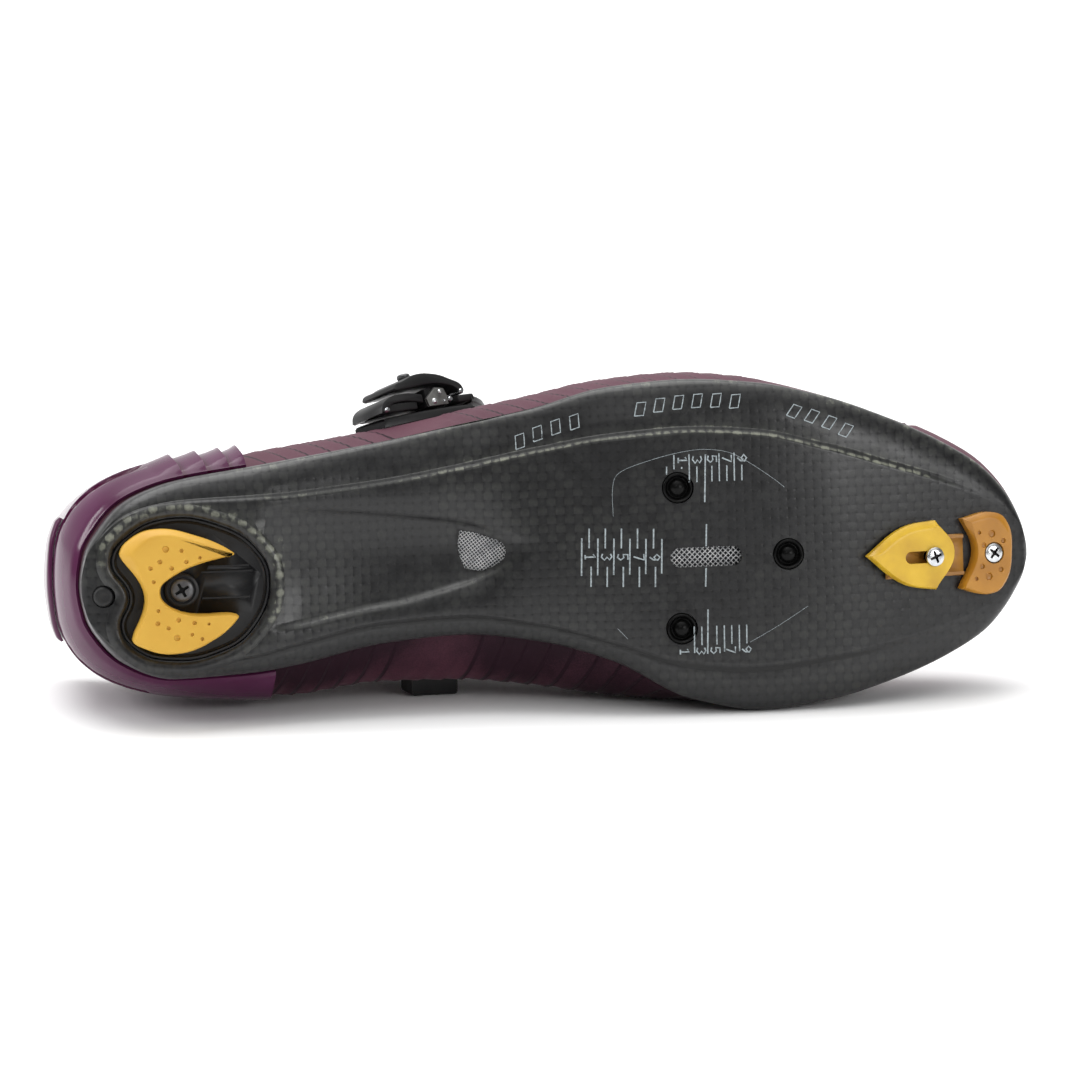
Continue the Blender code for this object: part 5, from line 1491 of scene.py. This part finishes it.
def side_map(mesh):
    """A map of the upper's side: place along the shingles and height over the rim, in metres."""
    layer = mesh.uv_layers.new(name="side")
    rims = sorted((sole_edge(column).x, sole_rim(column)) for column in spread(0.0, last_row, 120))
    along = [spot[0] for spot in rims]
    height = [spot[1] for spot in rims]
    spots = np.empty(len(mesh.vertices) * 3)
    mesh.vertices.foreach_get("co", spots)
    spots = spots.reshape(-1, 3)
    rise = spots[:, 2] - np.interp(spots[:, 0], along, height)
    both = np.stack((spots[:, 0] + rib_lean * rise, rise), axis=1)
    corners = np.empty(len(mesh.loops), dtype=np.int64)
    mesh.loops.foreach_get("vertex_index", corners)
    layer.data.foreach_set("uv", both[corners].ravel())


shape = bmesh.new()
shape.from_mesh(upper_mesh)
toe_seam = [
    spot
    for spot in shape.verts
    if spot.co.x > 0.243 and abs(spot.co.y) < 0.006 and spot.co.z > 0.028
]
for edge in {edge for spot in toe_seam for edge in spot.link_edges}:
    edge.smooth = True
for step in range(14):
    bmesh.ops.smooth_vert(
        shape, verts=toe_seam, factor=0.5, use_axis_x=True, use_axis_y=True, use_axis_z=True,
    )
shape.to_mesh(upper_mesh)
shape.free()
side_map(upper_mesh)
# Painted shade: the lowest strip of the inner side, near the sole, is painted darker.
shade_map(upper_mesh, "inner", lambda spot: fade(spot.y, 0.002, 0.016) * (1 - fade(spot.z, 0.024, 0.037)))
plum, tree, shader = paint("plum_microfibre", (0.095, 0.036, 0.055), 0.58)
spots = add(tree, "ShaderNodeTexCoord").outputs["Object"]
side = add(tree, "ShaderNodeUVMap", uv_map="side").outputs["UV"]
side = add(tree, "ShaderNodeSeparateXYZ", (("Vector", side),)).outputs["X"]
# Painted shade: a dark line at each shingle's step, outside the smooth patch; the same line also dents the
# bump.
saw = maths(tree, "FRACT", maths(tree, "MULTIPLY", side, 1 / rib_pitch))
line = between(tree, saw, 0.80, 0.94, interpolation_type="SMOOTHSTEP")
window, patch = (
    maths(tree, "MULTIPLY", maths(tree, "GREATER_THAN", side, start), maths(tree, "LESS_THAN", side, end))
    for start, end in ((0.056, 0.203), (0.096, 0.116))
)
line = maths(tree, "MULTIPLY", line, maths(tree, "MULTIPLY", window, maths(tree, "SUBTRACT", 1.0, patch)))
nap = noise(tree, 2200.0, 3.0, spots)
tone = maths(tree, "MULTIPLY_ADD", nap, 0.3, maths(tree, "MULTIPLY", noise(tree, 45.0, 5.0, spots), 0.6))
# Painted shade: the inner side's low strip and a line at each shingle's step darken the plum.
dark = maths(tree, "MULTIPLY_ADD", painted(tree, "inner"), 0.42, maths(tree, "MULTIPLY", line, 0.95))
tone = maths(tree, "SUBTRACT", tone, dark)
plums = ((0.02, (0.014, 0.0015, 0.007)), (0.35, (0.080, 0.024, 0.040)), (0.60, (0.115, 0.044, 0.064)))
tree.links.new(ramp(tree, tone, plums), shader.inputs["Base Color"])
bump(tree, shader, maths(tree, "MULTIPLY_ADD", nap, 0.04, maths(tree, "MULTIPLY", line, -1.0)), 1.0, 0.0005)
shader.inputs["Specular IOR Level"].default_value = 0.18
shader.inputs["Sheen Weight"].default_value = 0.03
shader.inputs["Sheen Roughness"].default_value = 0.5
settle("upper_shell", upper_mesh, plum, ["upper"])

# Lining: a thin grey textile bonded inside the upper, padded round the ankle and rolled over
# the collar's edge. It has the fine round knit of a spacer cloth.
def collar_pad(column, row):
    """The lining's inner face, with the pad round the ankle."""
    ankle = 1 - fade(abs(column), 6.5, 9.0)
    return -wall - 0.0016 * ankle * math.sin(math.pi * min(max((row - 0.62) / 0.38, 0.0), 1.0)) ** 0.8


lining_mesh = closed_wall(
    "lining", all_round(6), spread(0.0, 1.0, 26), lambda column, row: -0.0012, collar_pad, 1.6,
)
knit_stops = ((0.1, (0.018, 0.018, 0.020)), (0.6, (0.070, 0.070, 0.076)))
knit = mottled("grey_lining", (0.045, 0.045, 0.050), 0.9, (900.0,), knit_stops, (0.5, 0.0003))
settle("collar_lining", lining_mesh, knit)

# Tongue: padded cloth with a thin synthetic cover, sewn under the throat's front end. It lies
# under both edges of the throat and stands free above the instep.
def throat_middle(place, out):
    """The point midway across the throat, at a distance above the line between its edges."""
    lift = (skin_out(place, 1.0) + skin_out(-place, 1.0)).normalized()
    return (on_skin(place, 1.0, 0.0) + on_skin(-place, 1.0, 0.0)) / 2 + lift * out


def band(name, stations, sharp=40.0):
    """A strip from stations, each a row of pairs with a point above and a point below."""
    points = []
    for station in stations:
        points += [pair[0] for pair in station] + [pair[1] for pair in station[::-1]]
    return solid(name, points, rings_to_faces(len(stations), 2 * len(stations[0])), sharp)


tongue_top = -(wall + 2 * gap)
tongue_low = tongue_top - 0.0035
tongue_levels = (0.84, 0.88, 0.92, 0.96, 1.0)
stations = []
for place in spread(12.5, 8.5, 24):
    pad = 0.0008 * math.sin(math.pi * (place * 2 % 1.0))
    station = [
        (on_skin(-place, row, tongue_top), on_skin(-place, row, tongue_low))
        for row in tongue_levels
    ]
    station.append((throat_middle(place, tongue_top + pad * 0.4), throat_middle(place, tongue_low)))
    station += [
        (on_skin(place, row, tongue_top), on_skin(place, row, tongue_low))
        for row in tongue_levels[::-1]
    ]
    stations.append(station)
tongue_middle = (throat_middle(8.0, tongue_top) + throat_middle(8.0, tongue_low)) / 2
tongue_rise = Vector((-0.45, 0.0, 0.89)).normalized()
tongue_front = Vector((tongue_rise.z, 0.0, -tongue_rise.x)) * 0.00175
tongue_places = (
    (0.00, 0.62, 1.00), (0.16, 0.70, 1.00), (0.34, 0.88, 1.00), (0.62, 1.00, 0.95), (0.86, 0.96, 0.85),
    (1.00, 0.78, 0.45),
)
for share in spread(0.0, 5.0, 20):
    low = min(int(share), 4)
    part = share - low
    rise, half, thick = (a + (b - a) * part for a, b in zip(tongue_places[low], tongue_places[low + 1]))
    station = []
    for side in (-1.0, -0.9, -0.7, -0.5, -0.25, 0.0, 0.25, 0.5, 0.7, 0.9, 1.0):
        spot = tongue_middle + tongue_rise * rise * 0.026 + Vector(
            (-0.004 * side * side, -side * half * 0.0185, 0.0)
        )
        plump = thick * (1.0 - 0.5 * abs(side) ** 6)
        station.append((spot + tongue_front * plump, spot - tongue_front * plump))
    stations.append(station)
tongue_mesh = band("tongue", stations, 60.0)
tongue_cloth_stops = ((0.15, (0.012, 0.012, 0.014)), (0.35, (0.055, 0.055, 0.060)))
tongue_cloth = mottled(
    "tongue_cloth", (0.040, 0.040, 0.044), 0.85, (420.0,), tongue_cloth_stops, (0.6, 0.0004),
)
settle("tongue_pad", tongue_mesh, tongue_cloth, ["tongue"])

# Insole: moulded foam with a cloth top, lying loose in the sole's shallow cup. Its thin edge turns
# up over the sole's rim to meet the lining all round the heel and the sides.
insole_thin, insole_thick = 0.0016, 0.0040
insole_rings = []
for place in spread(1.4, 15.5, 56):
    ring = sole_section(place)
    rims = (ring[-4], ring[-1])
    feet = (ring[-3].y + 0.0015, ring[-2].y - 0.0015)
    low = max(ring[-2].z, ring[-3].z) + gap
    cupped = min(max((min(rims[0].z, rims[1].z) - low) / insole_thick, 0.0), 1.0)
    top = low + insole_thin + (insole_thick - insole_thin) * cupped
    halves = []
    for side, rim, foot in zip((-1, 1), rims, feet):
        lip = rim.z + insole_thin
        halves.append(
            (
                (foot, low), (rim.y - side * 0.0003, rim.z + gap),
                (rim.y + side * 0.0019, rim.z + gap), (rim.y + side * 0.0019, lip - 0.0004),
                (rim.y + side * 0.0012, lip),
                (rim.y - side * 0.0008, (lip + top) / 2),
                (foot - side * 0.0030, top),
            )
        )
    middle = (sum(feet) / 2, top - 0.0001)
    insole_rings.append([Vector((ring[0].x, *spot)) for spot in (*halves[0], middle, *halves[1][::-1])])
insole_mesh = ringed("insole", insole_rings)
insole_foam_stops = ((0.1, (0.035, 0.035, 0.040)), (0.6, (0.085, 0.085, 0.092)))
insole_foam = mottled(
    "insole_foam", (0.060, 0.060, 0.066), 0.95, (1400.0,), insole_foam_stops, (0.3, 0.0002),
)
settle("insole_foam_pad", insole_mesh, insole_foam, ["insole"])

# Heel cup: glossy plum plastic moulded round the heel, with four sharp fins at its front end on
# the outer side, and a raised clip across its back between two sunk panels.
# The glossy plum is painted darker by the sunk map: painted shade in the sunk panels and on the fin steps.
gloss = mottled(
    "glossy_plum",
    (0.066, 0.010, 0.042),
    0.20,
    (55.0, 5.0),
    ((0.0, (0.050, 0.001, 0.022)), (0.30, (0.066, 0.010, 0.042)), (0.75, (0.092, 0.020, 0.064))),
    (0.05, 0.0004),
    darker=("sunk", 0.8),
    gloss=(("Specular IOR Level", 0.22), ("Coat Weight", 0.10), ("Coat Roughness", 0.10)),
)

fins = (4.24, 4.52, 4.78, 5.02)
counter_wall = 0.0014
counter_low, counter_high = gap, gap + counter_wall


def counter_rows(column):
    """The heel cup's lower and upper edge at a column."""
    return 0.03, 0.80 - 0.36 * abs(column / 5.5) ** 3


def counter_height(column, row):
    """How far the heel cup's face stands off the skin: fins, sunk panels and a rounded rim."""
    low, high = counter_rows(column)
    share = (row - low) / (high - low)
    out = counter_high
    for before, fin in zip((3.9, *fins), fins):
        if before < column <= fin:
            out += 0.0015 * ((column - before) / (fin - before)) ** 1.6 * fade(share, 0.0, 0.12)
    out -= 0.0009 * sunk_share(column, row)
    return out - 0.0006 * (1 - fade(share, 0.0, 0.04)) - 0.0008 * fade(share, 0.95, 1.0)


def sunk_share(column, row):
    """Where the two long sunk panels lie, from the clip to the fins."""
    along = abs(column)
    middle = 0.300 - 0.012 * along
    reach = 0.018 + 0.034 * fade(along, 1.2, 3.8)
    edge = fade(along, 1.0, 1.3) * (1 - fade(along, 3.75, 3.9))
    return (1 - fade(abs(row - middle), reach * 0.75, reach * 1.15)) * edge


def painted_shade(column, row):
    """Painted shade: where the gloss is painted deepest, in the sunk panels and on the steps between the
    fins, where shade falls.
    """
    steps = [max(1 - (column - fin) / 0.09, 0.0) for fin in fins[:-1] if column > fin + 0.001]
    return max([sunk_share(column, row), *steps])


fin_steps = {fin + 0.012 for fin in fins[:-1]} | set(fins)
counter_columns = sorted(set(spread(-5.5, 3.9, 94)) | set(spread(3.9, 5.02, 45)) | fin_steps)
stations, marks = [], []
for column in counter_columns:
    low, high = counter_rows(column)
    rows = [
        low + (high - low) * share
        for share in (0.0, 0.012, 0.03, *spread(0.06, 0.94, 60), 0.965, 0.985, 1.0)
    ]
    stations.append(
        [
            (on_skin(column, row, counter_height(column, row)), on_skin(column, row, counter_low))
            for row in rows
        ]
    )
    marks += [(pair[0], painted_shade(column, row)) for pair, row in zip(stations[-1], rows)]
counter_mesh = band("counter", stations, 30.0)
nearest = KDTree(len(marks))
for index, (spot, share) in enumerate(marks):
    nearest.insert(spot, index)
nearest.balance()
# Painted shade for the sunk panels and the fin steps.
shade_map(counter_mesh, "sunk", lambda spot: marks[nearest.find(spot)[1]][1])
settle("heel_cup", counter_mesh, gloss, ["heel_counter"])

clip_inside = gap + counter_wall + gap
stations = []
for column in spread(-1.7, 1.9, 48):
    reach = 0.10 * (1 - 0.35 * (column / 1.9) ** 2)
    end = min(fade(column, -1.72, -1.55), 1 - fade(column, 1.75, 1.92))
    station = []
    for share in (-1.0, -0.97, -0.90, -0.75, -0.5, -0.25, 0.0, 0.25, 0.5, 0.75, 0.90, 0.97, 1.0):
        row = 0.42 + share * reach
        high = clip_inside + 0.0015 * (0.35 + 0.65 * (1 - abs(share) ** 8) * (0.3 + 0.7 * end))
        station.append((on_skin(column, row, high), on_skin(column, row, clip_inside)))
    stations.append(station)
clip_mesh = band("clip", stations, 40.0)
settle("rear_clip", clip_mesh, gloss, ["heel_clip"])

# Straps: a black ratchet strap from the inner anchor over the instep, which swings round into the
# buckle, and a plain plum strap over the forefoot, both flat strips with softened edges.
buckle_at, buckle_heelward = (7.70, 0.45), (7.05, 0.374)


def walk(column, row, move):
    """The column and row reached from a place on the skin by a move along it."""
    ahead, up = skin_slopes(column, row)
    a, b, c = ahead.dot(ahead), ahead.dot(up), up.dot(up)
    d, e = ahead.dot(move), up.dot(move)
    det = a * c - b * b
    return column + (c * d - b * e) / det, row + (a * e - b * d) / det


def directions(centre, towards):
    """A direction along the skin towards a place, the one across it, and the skin's normal."""
    out = skin_out(*centre)
    run = (skin(*towards) - skin(*centre)).normalized()
    run = (run - out * run.dot(out)).normalized()
    return run, out.cross(run), out


def buckle_mouth(share):
    """A place on the buckle's front edge, from its instep side at -1 to its sole side at 1."""
    run, side, out = directions(buckle_at, buckle_heelward)
    return walk(*buckle_at, side * share * 0.0078 - run * 0.0166)


def over_strap(name, centres, width, thick, mouth=None):
    """A strap over the throat. centres gives its level, column and lift from each end up."""
    shares = (-1.0, -0.985, -0.95, -0.6, 0.0, 0.6, 0.95, 0.985, 1.0)
    bevels = (0.25, 0.75, 1.0, 1.0, 1.0, 1.0, 1.0, 0.75, 0.25)
    halves = []
    for side, ends in ((-1, centres[0]), (1, centres[1])):
        half = []
        for step in spread(0.0, len(ends) - 1, 5 * (len(ends) - 1)):
            low = min(int(step), len(ends) - 2)
            row, column, lift = (a + (b - a) * (step - low) for a, b in zip(ends[low], ends[low + 1]))
            seat = 2 * gap + lift * (0.0026 + gap)
            reach = width / 2 / skin_slopes(side * column, row)[0].length
            station = []
            for share, bevel in zip(shares, bevels):
                spot = side * (column + share * reach)
                middle = seat + thick / 2
                pair = (middle + thick / 2 * bevel, middle - thick / 2 * bevel)
                station.append((on_skin(spot, row, pair[0]), on_skin(spot, row, pair[1])))
            half.append(station)
        halves.append(half if side < 0 else half[::-1])
    left, right = halves[0][-1], halves[1][0]
    bridge = []
    for step in range(1, 8):
        t = step / 8
        station = []
        for one, other in zip(left, right):
            lift = ((one[0] - one[1]) + (other[0] - other[1])).normalized() * 0.0010 * 4 * t * (1 - t)
            station.append((one[0].lerp(other[0], t) + lift, one[1].lerp(other[1], t) + lift))
        bridge.append(station)
    swing = []
    if mouth:
        row, column, lift = centres[1][0]
        reach = width / 2 / skin_slopes(column, row)[0].length
        middle = 2 * gap + lift * (0.0026 + gap) + thick / 2
        for t in spread(0.0, 1.0, 10)[1:]:
            station = []
            for share, bevel in zip(shares, bevels):
                start, goal = (column + share * reach, row), mouth(share)
                bow = 0.10 * (1 + share) * 2 * t * (1 - t)
                place = (start[0] + (goal[0] - start[0]) * t + bow, start[1] + (goal[1] - start[1]) * t)
                station.append(
                    tuple(on_skin(*place, middle + thick / 2 * bevel * face) for face in (1, -1))
                )
            swing.append(station)
    return band(name, halves[0] + bridge + halves[1] + swing, 35.0)


instep_path = (
    (
        (0.55, 7.82, 0), (0.58, 7.85, 0), (0.67, 7.95, 0), (0.76, 8.05, 0), (0.84, 8.20, 0),
        (0.92, 8.35, 0), (1.00, 8.50, 0),
    ),
    ((0.60, 8.34, 1), (0.67, 8.40, 1), (0.76, 8.42, 0), (0.84, 8.45, 0), (0.92, 8.48, 0), (1.00, 8.50, 0)),
)
settle(
    "ratchet_strap", over_strap("strap", instep_path, 0.020, 0.0020, buckle_mouth), black,
    ["instep_strap"],
)
forefoot_path = [(row, 11.0, 0) for row in (0.58, 0.67, 0.76, 0.84, 0.92, 1.0)]
forefoot_mesh = over_strap("strap", (forefoot_path, forefoot_path), 0.022, 0.0020)
# The side map lets the plum's painted shade lines of the shingle steps fall on part of the strap too.
side_map(forefoot_mesh)
settle("forefoot_band", forefoot_mesh, plum, ["forefoot_strap"])

# Anchor: a small black plastic block with softened edges, riveted low on the inner side of the
# upper. It holds the fixed end of the ratchet strap.
def skin_patch(name, centre, towards, length, width, high, round_off):
    """A block on the skin whose underside follows it, and the frame at its middle."""
    run, side, out = directions(centre, towards)
    stations = []
    steps = (-0.5, -0.485, -0.45, -0.25, 0.0, 0.25, 0.45, 0.485, 0.5)
    for along in steps:
        station = []
        for across in steps:
            place = walk(*centre, run * along * length + side * across * width)
            edge = max(abs(along), abs(across))
            drop = round_off * (1.0 if edge == 0.5 else 0.35 if edge == 0.485 else 0.0)
            station.append((on_skin(*place, high - drop), on_skin(*place, gap)))
        stations.append(station)
    facing = Matrix((run, side, out)).transposed().to_4x4()
    return band(name, stations, 30.0), Matrix.Translation(skin(*centre)) @ facing


anchor_mesh = skin_patch("anchor", (-7.75, 0.45), (-7.25, 0.45), 0.0140, 0.0120, 0.0060, 0.0008)[0]
settle("strap_anchor_block", anchor_mesh, black, ["strap_anchor"])

# Buckle: a ratchet buckle of black plastic with steel side plates. A lever with a round button
# drives the ladder, and pins and rivets hold the plates to the base on the upper.
buckle_length, buckle_width, buckle_height, buckle_base = 0.036, 0.018, 0.0137, 0.0026
base_mesh, buckle_frame = skin_patch(
    "base", buckle_at, buckle_heelward, 0.0335, 0.0165, gap + buckle_base, 0.0009,
)
settle("buckle_foot", base_mesh, black, ["buckle_base"])
buckle_floor = buckle_base + 3 * gap
buckle_half = buckle_width / 2


def soft_edges(low, high, bevel):
    """A slab's profile with a softened lower and upper edge."""
    half = bevel * 0.3
    return (
        (bevel, low), (half, low + half), (0.0, low + bevel), (0.0, high - bevel), (half, high - half),
        (bevel, high),
    )


def buckle_slab(name, outline, half, place, bevel, steps=5):
    """A straight piece through the buckle from its outline in shares of length and height."""
    rows = [
        (run * buckle_length * 1000, height * buckle_height * 1000, corner)
        for run, height, corner in outline
    ]
    upright = place @ Matrix.Rotation(math.pi / 2, 4, "X")
    return slab(name, smooth_outline(rows, steps), soft_edges(-half, half, bevel), upright, 35.0)


lever = buckle_slab(
    "lever",
    (
        (-0.356, 0.453, 0), (-0.306, 0.584, 0), (-0.167, 0.715, 0), (0.000, 0.745, 0),
        (0.167, 0.715, 0), (0.311, 0.700, 1), (0.333, 0.752, 0), (0.208, 0.912, 0),
        (0.083, 1.000, 0), (-0.083, 0.978, 0), (-0.236, 0.847, 0), (-0.383, 0.547, 0),
    ),
    buckle_half - 0.0006,
    buckle_frame,
    0.0006,
)
settle("buckle_lever_arm", lever, black, ["buckle_lever"])
ladder = buckle_slab(
    "ladder",
    (
        (0.500, 0.263, 1), (0.478, 0.438, 0), (0.403, 0.569, 0), (0.292, 0.620, 0),
        (0.153, 0.606, 0), (0.050, 0.547, 1), (0.050, 0.365, 1), (0.167, 0.431, 0),
        (0.292, 0.453, 0), (0.389, 0.401, 0), (0.439, 0.263, 1),
    ),
    buckle_half - 0.0012,
    buckle_frame,
    0.0004,
)
settle("buckle_ladder", ladder, black, ["ratchet_ladder"])
plate_outline = (
    (-0.189, 0.263, 1), (0.011, 0.263, 1), (0.028, 0.438, 1), (-0.078, 0.657, 1),
    (-0.167, 0.620, 1), (-0.189, 0.467, 1),
)
plate_stops = ((0.3, (0.10, 0.10, 0.095)), (0.7, (0.22, 0.22, 0.21)))
dull_steel = mottled("dull_steel", (0.16, 0.16, 0.15), 0.42, (420.0, 4.0), plate_stops, metallic=0.55)
for label, node, side in (("low", "buckle_side_plate_low", 1), ("high", "buckle_side_plate_high", -1)):
    place = buckle_frame @ Matrix.Translation((0.0, side * (buckle_half - 0.0012), 0.0))
    settle(
        "buckle_plate_" + label, buckle_slab("plate", plate_outline, 0.0006, place, 0.00015, 1), dull_steel,
        [node],
    )
    for run, height, radius in ((-0.125, 0.55, 0.0007), (-0.05, 0.36, 0.0009), (-0.15, 0.34, 0.0005)):
        spot = Matrix.Translation(
            (run * buckle_length, side * (buckle_half - 0.0007), height * buckle_height)
        )
        dome = ((0.0, 0.0006), (radius * 0.6, 0.0005), (radius, 0.00015), (radius, -0.0003), (0.0, -0.0003))
        rivet = turned(
            "rivet", dome, buckle_frame @ spot @ Matrix.Rotation(-side * math.pi / 2, 4, "X"), 20,
        )
        settle("buckle_rivet_%s_%d" % (label, -run * 1000), rivet, steel)


def buckle_block(name, length, width, tall, run, bevel):
    """A block on the buckle's base with softened upper and lower edges."""
    along, low, high = run * buckle_length, buckle_floor, buckle_floor + tall
    corners = [
        Vector((along + x * length / 2, y * width / 2))
        for x, y in ((-1, -1), (1, -1), (1, 1), (-1, 1))
    ]
    cut = [
        corner.lerp(other, share)
        for corner, other in zip(corners, corners[1:] + corners[:1])
        for share in (0.06, 0.94)
    ]
    return slab(name, cut, soft_edges(low, high, bevel), buckle_frame, 30.0)


body = buckle_block("body", 0.0068, buckle_width - 0.0036 - 2 * gap, 0.0056, -0.080, 0.0004)
settle("buckle_pawl_block", body, black, ["buckle_body"])
front = buckle_block("front", 0.0066, buckle_width, 0.0023, -0.365, 0.0007)
settle("buckle_nose", front, black, ["buckle_front_block"])
tail = buckle_block("tail", 0.0128, buckle_width - 0.0034, 0.0024, 0.275, 0.0004)
teeth = [
    block(
        "tooth", (0.0007, 0.0130, 0.0010),
        ((0.12 + 0.034 * step) * buckle_length, 0.0, buckle_floor + 0.0025), buckle_frame,
    )
    for step in range(9)
]
settle("ratchet_strap_end", carve(tail, teeth, "UNION"), black)
for label, run, height, radius in (
    ("front", -0.345, 0.50, 0.0008), ("middle", -0.215, 0.36, 0.0008), ("rear", 0.452, 0.31, 0.0007),
):
    half = buckle_half - 0.0002
    rod = (
        (0.0, -half), (radius * 0.7, -half), (radius, -half + 0.0003), (radius, half - 0.0003),
        (radius * 0.7, half), (0.0, half),
    )
    spot = Matrix.Translation((run * buckle_length, 0.0, height * buckle_height))
    place = buckle_frame @ spot @ Matrix.Rotation(math.pi / 2, 4, "X")
    settle("buckle_pin_" + label, turned("pin", rod, place, 20), steel)
button_low = buckle_height + gap
button = turned(
    "button",
    (
        (0.0, button_low), (0.0018, button_low), (0.0020, button_low + 0.0003),
        (0.0020, button_low + 0.0010), (0.0017, button_low + 0.0014), (0.0010, button_low + 0.0016),
        (0.0, button_low + 0.0016),
    ),
    buckle_frame @ Matrix.Translation((0.028 * buckle_length, 0.0, 0.0)),
)
settle("buckle_lever_button", button, black_steel, ["buckle_button"])

# Stitching: plum thread round the collar and the throat, and across the toe cap's edge. Each
# stitch is a short round bead of thread pulled into the microfibre.
thread, tree, shader = paint("plum_thread", (0.060, 0.016, 0.032), 0.7)
spots = add(tree, "ShaderNodeTexCoord").outputs["Object"]
twist = add(
    tree, "ShaderNodeTexWave", (("Vector", spots), ("Scale", 700.0), ("Distortion", 1.0)),
).outputs["Fac"]
bump(tree, shader, twist, 0.4, 0.0001)


def on_upper(column, row, ahead):
    """A frame on the upper's face with X along the seam."""
    out = skin_out(column, row)
    run = (ahead - out * ahead.dot(out)).normalized()
    turn = Matrix((run, out.cross(run), out)).transposed().to_4x4()
    return Matrix.Translation(on_skin(column, row, upper_relief(column, row) + 0.00008)) @ turn


def seam(name, spots, pitch):
    """Stitches at an even pitch along a line of (column, row) spots."""
    places, walked = [], 0.0
    for (column, row), (after, above) in zip(spots, spots[1:]):
        step = skin(after, above) - skin(column, row)
        walked += step.length
        if walked >= pitch:
            walked -= pitch
            places.append(on_upper(column, row, step))
    bead = turned(
        "bead",
        (
            (0.0, -0.00066), (0.00014, -0.0006), (0.00019, -0.0003), (0.00019, 0.0003), (0.00014, 0.0006),
            (0.0, 0.00066),
        ),
        Matrix.Rotation(math.pi / 2, 4, "Y"),
        7,
        80.0,
    )
    mesh = set_out(name, places, bead, thread)
    mesh.shade_smooth()
    settle(name, mesh, None)


seam("collar_stitches", [(column, 0.955) for column in spread(-12.0, 12.0, 900)], 0.0022)
for side, label in ((1, "outer"), (-1, "inner")):
    seam("cap_stitches_" + label, [(side * 14.42, row) for row in spread(0.06, 0.99, 420)], 0.0020)
